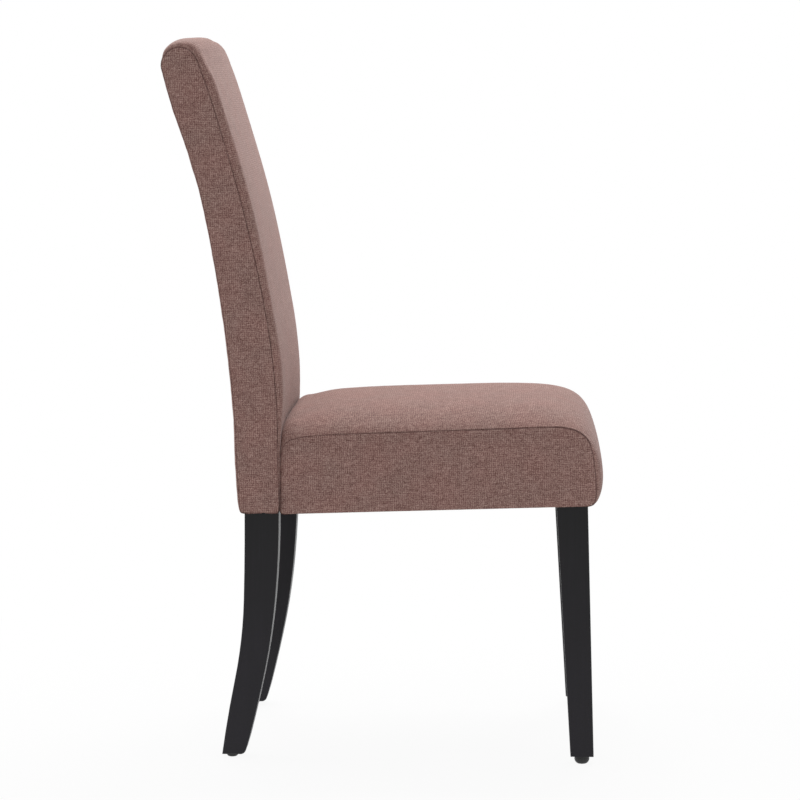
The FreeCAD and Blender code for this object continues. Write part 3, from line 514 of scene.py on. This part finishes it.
def cloth_material():
    """Mauve-brown cloth in a plain weave of uneven threads, with slubs both ways."""
    recipe = Recipe(bpy.data.materials.new("linen_look_cloth"))
    uv = recipe.node("ShaderNodeUVMap", {"uv_map": "cloth_metres"})
    along = recipe.coordinate(uv, "X")
    across = recipe.coordinate(uv, "Y")
    threads = [(place * (1 / THREAD_PITCH)).math("FLOOR") for place in (along, across)]
    crossing = recipe.node("ShaderNodeTexWhiteNoise", {"noise_dimensions": "2D"}, {
        "Vector": recipe.point(*threads)})
    warp_yarn, weft_yarn = [(place * (1 / SLUB_THICKNESS)).math("FLOOR") * YARNS_APART
                            for place in (across, along)]
    warp = recipe.noise(recipe.point(along * (1 / SLUB_LENGTH), warp_yarn), 1.0, 1.0)
    weft = recipe.noise(recipe.point(weft_yarn, across * (1 / SHORT_SLUB)), 1.0, 1.0)
    cloud = recipe.noise(uv, 1 / CLOUD_SIZE)
    wander = cloud * RIB_WANDER
    rib_along = (across * (2 * math.pi / THREAD_PAIR) + wander).math("SINE") * warp
    rib_across = (along * (2 * math.pi / THREAD_PAIR) - wander).math("SINE") * weft
    tone = crossing * 0.27 + warp * 0.3 + weft * 0.22 + cloud * 0.05 + 0.08
    tone = tone + rib_along * 0.07 + rib_across * 0.1
    colour = recipe.ramp(tone, (0.3, CLOTH_DARK), (0.5, CLOTH_MID), (0.7, CLOTH_PALE))
    dye = recipe.noise(uv, 1 / DYE_SIZE, 3.0)
    tint = recipe.ramp(dye, (0.35, (1.0, 0.94, 0.93, 1.0)), (0.65, (0.96, 0.96, 0.95, 1.0)))
    colour = recipe.mix(1.0, colour, tint, "MULTIPLY")
    # Painted shade: the cloth is darkened in its seams and folded tabs, broken up by noise.
    fold = recipe.node("ShaderNodeAttribute", {"attribute_name": "seam_shade"}, output="Fac")
    shade_breakup = recipe.noise(uv, 1 / SHADE_BREAKUP_SIZE, 1.0)
    colour = recipe.mix(fold * (shade_breakup * 0.9 + 0.25), colour, PAINTED_SHADE_COLOUR)
    turn = math.pi / THREAD_PITCH
    weave = (along * turn).math("SINE") * (across * turn).math("SINE")
    return recipe.finish_principled({
        "Base Color": colour, "Roughness": 0.92, "Specular IOR Level": 0.15,
        "Sheen Weight": 0.26, "Sheen Roughness": 0.45, "Sheen Tint": linear(234, 222, 220),
        "Normal": recipe.bump(weave * 0.3 + warp + weft + cloud, 0.5, 0.0004)})


def lacquer_material():
    """Black lacquer over a faint grain, greyer and duller near the floor with a painted reflection
    of the white floor.
    """
    recipe = Recipe(bpy.data.materials.new("black_satin_lacquer"))
    place = recipe.place()
    grain = recipe.streaks(place, (260.0, 260.0, 9.0), 4.0, 0.6)
    cloud = recipe.noise(place, 18.0, 3.0)
    colour = recipe.ramp(grain * 0.6 + cloud * 0.4, (0.3, linear(14, 14, 16)),
                         (0.55, linear(22, 21, 24)), (0.8, linear(33, 31, 35)))
    # Painted reflection of the floor: the lacquer turns an uneven lighter grey lower down the leg.
    near_floor = recipe.node("ShaderNodeMapRange", {}, {
        "Value": recipe.coordinate(place, "Z"), "From Min": FLOOR_REFLECTION_TOP, "From Max": 0.0})
    colour = recipe.mix(near_floor * (cloud * 0.5 + 0.25), colour, linear(51, 48, 55))
    return recipe.finish_principled({
        "Base Color": colour, "Roughness": cloud * 0.16 + grain * 0.1 + 0.26,
        "Specular IOR Level": 0.26, "Coat Weight": 0.02, "Coat Roughness": 0.2,
        "Normal": recipe.bump(grain, 0.12, 0.0003)})


def wood_material(name, dark, pale, scale):
    """Bare timber, with its grain along the axis of the smallest scale."""
    recipe = Recipe(bpy.data.materials.new(name))
    place = recipe.place()
    grain = recipe.streaks(place, scale, 5.0, 0.62)
    fleck = recipe.noise(place, 900.0)
    colour = recipe.ramp(grain * 0.85 + fleck * 0.15, (0.35, dark), (0.68, pale))
    return recipe.finish_principled({
        "Base Color": colour, "Roughness": 0.72, "Normal": recipe.bump(grain, 0.3, 0.0004)})


def speckled_material(name, dark, pale, grain_size, roughness, metallic=0.0, bump_depth=0.0002):
    """A plain finish with fine mottling: lining cloth, zinc plate, moulded plastic or board."""
    recipe = Recipe(bpy.data.materials.new(name))
    place = recipe.place()
    fine = recipe.noise(place, 1 / grain_size, 3.0)
    broad = recipe.noise(place, 0.06 / grain_size)
    mottle = fine * 0.6 + broad * 0.4
    return recipe.finish_principled({
        "Base Color": recipe.ramp(mottle, (0.35, dark), (0.65, pale)),
        "Roughness": mottle * 0.2 + (roughness - 0.1), "Metallic": metallic,
        "Normal": recipe.bump(fine, 0.35, bump_depth)})


CLOTH_MATERIAL = cloth_material()
LINING = speckled_material("black_lining_cloth", linear(18, 18, 19), linear(38, 37, 38),
                           0.0012, 0.9, bump_depth=0.0004)
STAND_IN_FOAM = speckled_material("cream_foam", linear(214, 200, 160), linear(232, 220, 186),
                                  0.0014, 0.9)
SLOT_MATERIALS = {
    "black_lacquer_wood": lacquer_material(),
    "frame_hardwood": wood_material(
        "sawn_hardwood", linear(150, 108, 66), linear(206, 168, 118), (22.0, 260.0, 260.0)),
    "plywood": wood_material(
        "birch_plywood", linear(176, 140, 96), linear(222, 192, 148), (30.0, 240.0, 500.0)),
    "hardboard": speckled_material(
        "brown_hardboard", linear(92, 66, 44), linear(126, 94, 66), 0.0016, 0.75),
    "zinc_steel": speckled_material(
        "bright_zinc", linear(166, 168, 170), linear(206, 207, 208), 0.004, 0.34, metallic=1.0),
    "black_glide_plastic": speckled_material(
        "black_glide_plastic", linear(26, 26, 27), linear(44, 43, 44), 0.003, 0.5),
    "black_lining_cloth": LINING,
    "upholstery_cloth": CLOTH_MATERIAL,
    "cream_foam": STAND_IN_FOAM,
    "white_wadding": STAND_IN_FOAM,
}


def finish_cad_nodes():
    """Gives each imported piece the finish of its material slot."""
    for row in frame["record"]["subparts"]:
        node = frame["nodes"][row["node"]]
        material = SLOT_MATERIALS[row["material_slot"]]
        if not node.data.materials:
            node.data.materials.append(material)
        for index in range(len(node.data.materials)):
            node.data.materials[index] = material


# Camera, light and stage, in metres

CAMERA_PLACE = (-4.289, -0.179, 0.955)
CAMERA_AIM = (0.9932, 0.0385, -0.1093)
CAMERA_LENS = 135.0
CAMERA_SENSOR = 36.0
CHAIR_MIDDLE = Vector((0.0, 0.0, 0.5))
# Soft boxes, as (name, place, size, power)
SOFT_BOXES = (
    ("front_panel", (0.9, -2.6, 1.0), (1.6, 2.0), 0.4),
    ("overhead", (1.4, -0.12, 2.7), (1.6, 1.6), 59.0),
    ("rear_fill", (0.6, 2.6, 1.9), (1.6, 1.6), 20.0),
)
WORLD_LIGHT = 0.54
FLOOR_COLOUR = (0.8, 0.8, 0.8, 1.0)
FLOOR_GLOW = 0.93
FLOOR_HALF = 12.0
SHADOW_REACH = 1.1


def add_aimed(name, data, place, direction):
    """An object at a place, turned to look along a direction."""
    obj = new_object(name, data)
    obj.location = place
    obj.rotation_mode = "QUATERNION"
    obj.rotation_quaternion = direction.to_track_quat("-Z", "Y")
    return obj


def add_camera():
    data = bpy.data.cameras.new("photo_camera")
    data.lens = CAMERA_LENS
    data.sensor_width = CAMERA_SENSOR
    camera = add_aimed("photo_camera", data, CAMERA_PLACE, Vector(CAMERA_AIM))
    bpy.context.scene.camera = camera


def add_lights():
    for name, place, size, power in SOFT_BOXES:
        data = bpy.data.lights.new(name, "AREA")
        data.shape = "RECTANGLE"
        data.size, data.size_y = size
        data.energy = power
        add_aimed(name, data, place, CHAIR_MIDDLE - Vector(place))


def seen_directly(recipe):
    """1 for rays from the camera, and for those that gloss or glass sends on."""
    camera, glossy, through = [
        recipe.node("ShaderNodeLightPath", output=ray)
        for ray in ("Is Camera Ray", "Is Glossy Ray", "Is Transmission Ray")]
    return camera.math("MAXIMUM", glossy).math("MAXIMUM", through)


def add_world():
    """White to look at, and dimmer as a light."""
    world = bpy.data.worlds.new("studio")
    bpy.context.scene.world = world
    recipe = Recipe(world)
    strength = seen_directly(recipe) * (1.0 - WORLD_LIGHT) + WORLD_LIGHT
    sky = recipe.node("ShaderNodeBackground", {}, {"Color": WHITE, "Strength": strength})
    recipe.finish(sky, "ShaderNodeOutputWorld")


def floor_material():
    """White, with a soft shadow near the chair, and clear when it is seen from below."""
    recipe = Recipe(bpy.data.materials.new("white_sweep"))
    place = recipe.place()
    away = recipe.node("ShaderNodeVectorMath", {"operation": "LENGTH"}, {0: place}, "Value")
    open_floor = recipe.node("ShaderNodeMapRange", {"interpolation_type": "SMOOTHSTEP"}, {
        "Value": away, "From Min": SHADOW_REACH * 0.5, "From Max": SHADOW_REACH,
        "To Min": FLOOR_GLOW, "To Max": 1.0})
    diffuse = recipe.node("ShaderNodeBsdfDiffuse", {}, {"Color": FLOOR_COLOUR})
    glow = recipe.node("ShaderNodeEmission", {}, {"Strength": 1.0})
    lit = recipe.node("ShaderNodeMixShader", {}, {
        0: seen_directly(recipe) * open_floor, 1: diffuse, 2: glow})
    underneath = recipe.node("ShaderNodeNewGeometry", output="Backfacing")
    clear = recipe.node("ShaderNodeBsdfTransparent")
    return recipe.finish(recipe.node("ShaderNodeMixShader", {}, {0: underneath, 1: lit, 2: clear}))


def add_floor():
    mesh = bpy.data.meshes.new("floor")
    corners = ((-1, -1), (1, -1), (1, 1), (-1, 1))
    mesh.from_pydata([(x * FLOOR_HALF, y * FLOOR_HALF, 0) for x, y in corners], [], [(0, 1, 2, 3)])
    mesh.materials.append(floor_material())
    new_object("floor", mesh)


# Simulated padding

def shrink(grid, distance, soft):
    """A cover let in from its shape, for the pad to fill out, but not beside its seams."""
    return grid - outward_normals(grid) * (PAD_SHRINK * smooth_step(distance, *soft))[..., None]


def closed_pad(name, top_grid, side_grid):
    """A closed body from a cover's grid and its two side panels, for the simulation."""
    verts, faces = [], []
    for grid in (top_grid, side_grid, side_grid * np.array([-1, 1, 1])):
        cells = len(verts) + grid_cells(*grid.shape[:2])
        verts += grid.reshape(-1, 3).tolist()
        faces += cells.reshape(-1, 4).tolist()
    first = np.arange(top_grid.shape[1])
    last = first + (top_grid.shape[0] - 1) * top_grid.shape[1]
    faces += np.stack([first[:-1], first[1:], last[1:], last[:-1]], 1).tolist()
    mesh = bpy.data.meshes.new(name)
    mesh.from_pydata(verts, [], faces)
    mesh.update()
    return new_object(name, mesh)


def evaluated_points(obj):
    graph = bpy.context.evaluated_depsgraph_get()
    shown = obj.evaluated_get(graph)
    mesh = shown.to_mesh()
    points = np.empty(len(mesh.vertices) * 3, np.float32)
    mesh.vertices.foreach_get("co", points)
    shown.to_mesh_clear()
    return points.reshape(-1, 3).astype(float)


def grip_on(points, seam, held_below, held_at_seam):
    """How firmly the frame or a seam holds each point of a pad, from 0 to 1."""
    low = 1 - smooth_step(points[:, 2] / MM, *held_below)
    one_side = np.abs(points[:, [0]]) / MM * (1, 0, 0) + points / MM * (0, 1, 1)
    near = distance_to_line(one_side, seam)
    return np.maximum(low, 1 - smooth_step(near, *held_at_seam))


def swell_of(name, shrunk, flat, outline, half, held_below, held_at_seam):
    """Blows a pad up as cloth, and gives where its points were and how far they moved."""
    side_grid = np.stack([half(flat[..., 0]), flat[..., 0], flat[..., 1]], -1)
    pad = closed_pad(name, to_metres(shrunk), to_metres(side_grid))
    remesh = pad.modifiers.new("voxels", "REMESH")
    remesh.mode = "VOXEL"
    remesh.voxel_size = SIM_VOXEL
    graph = bpy.context.evaluated_depsgraph_get()
    mesh = bpy.data.meshes.new_from_object(pad.evaluated_get(graph))
    body = new_object("pad_body", mesh)
    bpy.data.objects.remove(pad)
    rest = np.array([v.co for v in mesh.vertices])
    seam = np.column_stack([half(outline[:, 0]), outline]) * np.array([1, -1, 1])
    group = body.vertex_groups.new(name="held")
    for index, weight in enumerate(grip_on(rest, seam, held_below, held_at_seam)):
        if weight > LEAST_HOLD:
            group.add([index], float(weight), "REPLACE")
    cloth = body.modifiers.new("stuffing", "CLOTH")
    for key, value in SIM_SETTINGS.items():
        setattr(cloth.settings, key, value)
    cloth.settings.vertex_group_mass = "held"
    cloth.settings.effector_weights.gravity = 0.0
    cloth.collision_settings.use_collision = False
    cloth.point_cache.frame_start = 1
    cloth.point_cache.frame_end = SIM_FRAMES
    scene = bpy.context.scene
    for step in range(1, SIM_FRAMES + 1):
        scene.frame_set(step)
    moved = evaluated_points(body) - rest
    scene.frame_set(1)
    bpy.data.objects.remove(body)
    size = np.linalg.norm(moved, axis=1, keepdims=True)
    moved *= np.minimum(1.0, SIM_CAP / np.maximum(size, TINY))
    return rest, moved


def carry(grid, rest, moved):
    """How far a grid's points move with the pad's nearest points, in millimetres."""
    tree = KDTree(len(rest))
    for index, point in enumerate(rest):
        tree.insert(point, index)
    tree.balance()
    points = to_metres(grid).reshape(-1, 3)
    result = np.zeros_like(points)
    for number, point in enumerate(points):
        found = tree.find_n(point, CARRY_NEIGHBOURS)
        weights = np.array([1 / (distance + CARRY_SOFTNESS) ** 2 for _, _, distance in found])
        near = moved[[index for _, index, _ in found]]
        result[number] = (near * weights[:, None]).sum(0) / weights.sum()
    return result.reshape(grid.shape) / MM * (1, -1, 1)


def follow_pad(grid, distance, soft, swell):
    """Moves a cover with the simulated pad, while the middle of each row keeps its place."""
    free = smooth_step(distance, *soft)[..., None]
    shaped = shrink(grid, distance, soft)
    shaped = shaped + carry(shaped, *swell) * free
    middle = [grid.shape[1] // 2]
    drift = grid[:, middle] - shaped[:, middle]
    shaped = shaped + drift * free
    return grid + (shaped - grid) * SWELL_SHARE


# Upholstery

def seam_pull(along, distance, seed):
    """Small uneven pulls of a cloth along its seam, outwards or inwards."""
    random = np.random.default_rng(seed)
    total = np.zeros_like(along)
    for wavelength in PUCKER_WAVES:
        total += np.sin(2 * math.pi * along / wavelength + random.uniform(*PUCKER_PHASES))
    near = np.exp(-((distance - PUCKER_FROM_SEAM) / PUCKER_SPREAD) ** 2)
    return total / len(PUCKER_WAVES) * near * PUCKER_DEPTH


def cover_uv(grid):
    """How far each point is along and across the cloth."""
    across = lengths(grid, axis=1)
    middle = across.shape[1] // 2
    across = across - across[:, [middle]]
    along = np.broadcast_to(lengths(grid[:, middle])[:, None], across.shape)
    return np.stack([along, across], -1)


def cells_outside(plan, grid, rows, front=math.inf):
    """Which cells stay when a tab's rows are cut away where they would enter a leg or post.

    plan is the leg's or post's (inner face, outer face), and front how far forward it goes.
    """
    across = np.abs(grid[:-1, :-1, 0] + grid[1:, 1:, 0]) / 2
    inside = (across > plan[0] + TAB_INNER_LAP) & (across < plan[1] - TAB_OUTER_LAP)
    inside &= grid[:-1, :-1, 1] < front
    tab = np.zeros_like(inside)
    tab[rows] = True
    return ~(tab & inside)


def add_allowance(grid, depth):
    """Continues a cover past its side seams by depth, as its seam allowance."""
    return np.concatenate([grid[:, :1] + depth, grid, grid[:, -1:] - depth], 1)


def finish_sheet(obj, inside, thickness, material):
    """Turns a sheet's faces away from a point inside, and gives it thickness, inwards, and
    a look."""
    mesh = obj.data
    facing = 0.0
    for face in mesh.polygons:
        facing += face.normal.dot(face.center - Vector(inside)) * face.area
    if facing < 0:
        mesh.flip_normals()
    solid = obj.modifiers.new("thickness", "SOLIDIFY")
    solid.thickness = thickness * MM
    solid.offset = -1.0
    mesh.materials.append(material)


def declare(obj, replaced):
    """Attaches a piece of cover to the chair and hides the pieces that it stands for."""
    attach(obj, "root")
    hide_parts(*replaced)


def make_cover(name, grid, distance, keep, swell, soft, seed, seam_row=None):
    """A cover between two side seams, tucked into them, over the simulated pad if there is one.

    soft gives the distances from a seam between which the cloth starts to follow the pad.
    seam_row is a row that is tucked forward into a seam of its own.
    """
    shaped = grid.copy() if swell is None else follow_pad(grid, distance, soft, swell)
    uv = cover_uv(grid)
    pull = seam_pull(uv[..., 0], distance, seed)
    shaped = shaped + outward_normals(grid) * pull[..., None]
    shaped[..., 0] -= np.sign(grid[..., 0]) * tuck(distance)
    if seam_row is not None:
        down = lengths(grid)
        shaped[..., 1] += tuck(np.abs(down - down[seam_row]))
    shaped = add_allowance(shaped, np.array([SEAM_DEPTH, 0, 0]))
    uv = add_allowance(uv, np.array([0, -SEAM_DEPTH]))
    beside = ((0, 0), (1, 1))
    shade = np.pad(seam_shade(distance), beside, "edge")
    obj = grid_mesh(name, to_metres(shaped), uv * MM, shade, np.pad(keep, beside, "edge"))
    finish_sheet(obj, to_metres(grid.mean(axis=(0, 1))), CLOTH, CLOTH_MATERIAL)
    return obj


def dense_ends(count):
    """Shares from 0 to 1, closer together at both ends."""
    share = np.linspace(-1, 1, count)
    return (np.sign(share) * (1 - (1 - np.abs(share)) ** END_CROWDING) + 1) / 2


def side_panel(seam, corners, size):
    """A side panel's outline, and a grid over it with close rows beside its seams, both in
    (forward, height)."""
    first, second, third, last = (corner * SAMPLES_PER_SPAN for corner in corners)
    left = seam[first:second + 1]
    top = seam[second:third + 1]
    right = seam[third:last + 1][::-1]
    bottom = np.stack([left[0], right[0]])
    across, up = (dense_ends(count) for count in size)
    edges = []
    for line, shares in ((bottom, across), (top, across), (left, up), (right, up)):
        edges.append(at_lengths(line, shares * lengths(line)[-1]))
    bottom, top, left, right = edges
    s = across[None, :, None]
    t = up[:, None, None]
    ruled_up = (1 - t) * bottom[None] + t * top[None]
    ruled_across = (1 - s) * left[:, None] + s * right[:, None]
    corner_part = ((1 - s) * (1 - t) * bottom[0] + s * (1 - t) * bottom[-1]
                   + (1 - s) * t * top[0] + s * t * top[-1])
    return seam[first:last + 1], ruled_up + ruled_across - corner_part


def seat_side_bulge(distance):
    """How far the seat's side stands out from its plane, rolling in to its seam."""
    share = np.clip(distance / SEAT_SIDE_TURN, 0, 1)
    return SEAT_SIDE_BULGE * (1 - (1 - share) ** 2) - SEAT_SIDE_INSET


def back_side_bulge(distance):
    return np.full_like(distance, BACK_SIDE_BULGE)


def seat_tab(edge):
    """The height of the side cover's tab, and which of its cells lie between leg and post."""
    forward = edge[:, 1]
    free = (forward < LEG_REAR - TAB_LEG_GAP) & (forward > SEAT_REAR + TAB_REAR_GAP)
    return seat_floor(forward), free[:-1] & free[1:]


def back_hem(edge):
    """The height of the back's hem, which is left whole."""
    return edge[:, 2], np.ones(len(edge) - 1, bool)


def fold_under(grid, uv, side, fold, foot):
    """Rows of cloth folded in under a side panel's bottom edge, and which cells of them stay."""
    edge = grid[0]
    level, free = foot(edge)
    rows, uv_rows = [], []
    for inward, down in fold:
        across = side * (np.abs(edge[:, 0]) - inward)
        rows.append(np.stack([across, edge[:, 1], level - down], -1))
        uv_rows.append(uv[0] - (0, inward))
    return np.array(rows), np.array(uv_rows), np.tile(free, (len(rows), 1))


def make_side_panels(part, flat, outline, swell, half, bulge, fold, foot, seed):
    """The seat's or the back's two side covers, tucked in at the outline of their seams.

    half and bulge say how far out a cover's plane lies, and how far it stands out from it.
    fold has the rows that are turned in under it, and foot their height and extent.
    """
    distance = distance_to_line(flat, resample(outline, SEAM_SAMPLES))
    for side, word in ((1, "left"), (-1, "right")):
        across = (half(flat[..., 0]) + bulge(distance)) * side
        grid = np.stack([across, flat[..., 0], flat[..., 1]], -1)
        if swell is not None:
            share = smooth_step(distance, *SIDE_SOFT) * SIDE_SHARE
            grid[..., 0] += carry(grid, *swell)[..., 0] * share
        pull = seam_pull(flat[..., 0] - flat[..., 1], distance, seed + side)
        on_seam = np.where(distance < ON_SEAM, SEAM_DEPTH, 0)
        grid[..., 0] += side * (pull - tuck(distance) - on_seam)
        tab, tab_uv, keep_tab = fold_under(grid, flat, side, fold, foot)
        keep = np.concatenate([keep_tab, np.ones((len(grid) - 1, grid.shape[1] - 1), bool)])
        grid = np.concatenate([tab, grid])
        uv = np.concatenate([tab_uv, flat]) * MM
        # The folded tabs get full painted shade, as for the shadow under the panel's bottom edge.
        shade = np.concatenate([np.ones(tab.shape[:2]), seam_shade(distance)])
        panel = grid_mesh(f"{part}_side_cloth_{word}", to_metres(grid), uv, shade, keep)
        inside = grid.mean(axis=(0, 1)) * (0, 1, 1)
        finish_sheet(panel, to_metres(inside), CLOTH, CLOTH_MATERIAL)
        declare(panel, (f"{part}_side_cover_{word}", f"{part}_side_wadding_{word}"))


def build_lining():
    """The cloth stapled up under the seat, notched round the front legs. Beyond the rails it
    hangs a little under its own weight, with soft pulls between the staples."""
    leg_inside = LEG_PLAN[0] - LINING_CLEAR
    notch = LEG_REAR - LINING_CLEAR
    rear = SEAT_REAR + LINING_INSET
    front = LEG_FRONT - LINING_INSET
    places = np.concatenate([np.linspace(rear, notch, LINING_ROWS),
                             np.linspace(notch, front, LINING_ROWS_BY_LEG)[1:]])
    half = seat_half(places)[:, None] - LINING_INSET
    inner = np.linspace(0, 1, LINING_COLUMNS) * leg_inside
    outer = leg_inside + np.linspace(0, 1, LINING_COLUMNS_BY_LEG)[1:] * (half - leg_inside)
    left = np.concatenate([np.broadcast_to(inner, (len(places), len(inner))), outer], 1)
    across = np.concatenate([-left[:, :0:-1], left], 1)
    forward = np.broadcast_to(places[:, None], across.shape)
    from_edges = (half - np.abs(across), forward - rear, front - forward)
    loose = np.ones_like(across)
    for gap in from_edges:
        loose = loose * smooth_step(gap, LINING_FLAT, LINING_SAG_REACH)
    nearest = np.minimum.reduce(from_edges)
    pulls = np.exp(-((nearest - PULL_FROM_EDGE) / LINING_FLAT) ** 2) * LINING_PULL
    pulls = pulls * np.sin(2 * math.pi * (across + forward * PULL_SLANT) / STAPLE_SPACING)
    level = seat_floor(forward) - LINING_THICKNESS - LINING_SAG * loose - np.abs(pulls)
    grid = np.stack([across, forward, level], -1)
    uv = np.stack([forward, across], -1) * MM
    cell_across = (np.abs(across[:-1, :-1]) + np.abs(across[1:, 1:])) / 2
    cell_forward = (forward[:-1, :-1] + forward[1:, 1:]) / 2
    keep = (cell_across < leg_inside) | (cell_forward < notch)
    lining = grid_mesh("lining_under_seat", to_metres(grid), uv, np.zeros_like(across), keep)
    finish_sheet(lining, (0.0, 0.0, 1.0), LINING_THICKNESS, LINING)
    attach(lining, "root")
    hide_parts("dust_cover")
    long = front - rear
    wide = 2 * (seat_half(notch) - LINING_INSET)
    corners = (front - notch) * (wide - 2 * leg_inside)
    taper = (notch - rear) * (seat_half(notch) - seat_half(rear))
    wide * MM
    (long * wide - corners - taper) * MM ** 2


def build_seat():
    grid, distance = cover_grid(SEAT_SEAM, SEAT_MIDDLE, seat_seam_half,
                                (SEAT_FRONT_SECTION, SEAT_TOP_SECTION), SEAT_SECTION_CHANGE)
    outline, flat = side_panel(spline(SEAT_SEAM), SEAT_CORNERS, SEAT_PANEL)
    swell = None
    swell = swell_of("seat_pad", shrink(grid, distance, SEAT_SOFT), flat, outline,
                     seat_seam_half, SEAT_HELD_BELOW, SEAT_HELD_AT_SEAM)
    keep = cells_outside(LEG_PLAN, grid, slice(0, SAMPLES_PER_SPAN), TAB_FRONT)
    top = make_cover("seat_top_cloth", grid, distance, keep, swell, SEAT_SOFT, seed=3)
    declare(top, ("seat_top_cover", "seat_foam", "seat_front_pad"))
    make_side_panels("seat", flat, outline, swell, half=seat_half, bulge=seat_side_bulge,
                     fold=SIDE_TAB, foot=seat_tab, seed=11)


def build_back():
    """The front cover goes over the roll to a seam, where the outside back starts."""
    front, front_distance = cover_grid(
        BACK_SEAM, BACK_MIDDLE, back_half, (BACK_FRONT_SECTION, BACK_CREST_SECTION),
        BACK_SECTION_CHANGE)
    rear, rear_distance = cover_grid(
        OUTSIDE_SEAM, OUTSIDE_MIDDLE, back_half, (OUTSIDE_SECTION, OUTSIDE_SECTION),
        BACK_SECTION_CHANGE)
    seam = np.vstack([spline(BACK_SEAM), spline(OUTSIDE_SEAM)[1:]])
    outline, flat = side_panel(seam, BACK_CORNERS, BACK_PANEL)
    swell = None
    shrunk = np.vstack([shrink(front, front_distance, BACK_SOFT),
                        shrink(rear, rear_distance, BACK_SOFT)[1:]])
    swell = swell_of("back_pad", shrunk, flat, outline, back_half,
                     BACK_HELD_BELOW, BACK_HELD_AT_SEAM)
    keep = cells_outside(POST_PLAN, front, slice(0, SAMPLES_PER_SPAN))
    cover = make_cover("back_front_cloth", front, front_distance, keep, swell, BACK_SOFT,
                       seed=5, seam_row=-1)
    declare(cover, ("back_front_cover", "back_foam"))
    keep = cells_outside(POST_PLAN, rear, slice(OUTSIDE_FOOT * SAMPLES_PER_SPAN, None))
    cover = make_cover("outside_back_cloth", rear, rear_distance, keep, None, BACK_SOFT,
                       seed=7, seam_row=0)
    declare(cover, ("outside_back_cover", "outside_back_wadding"))
    make_side_panels("back", flat, outline, swell, half=back_half, bulge=back_side_bulge,
                     fold=BACK_HEM, foot=back_hem, seed=21)


add_camera()
add_world()
add_floor()
add_lights()
finish_cad_nodes()
build_seat()
build_lining()
build_back()

bpy.context.scene.view_settings.view_transform = "Standard"
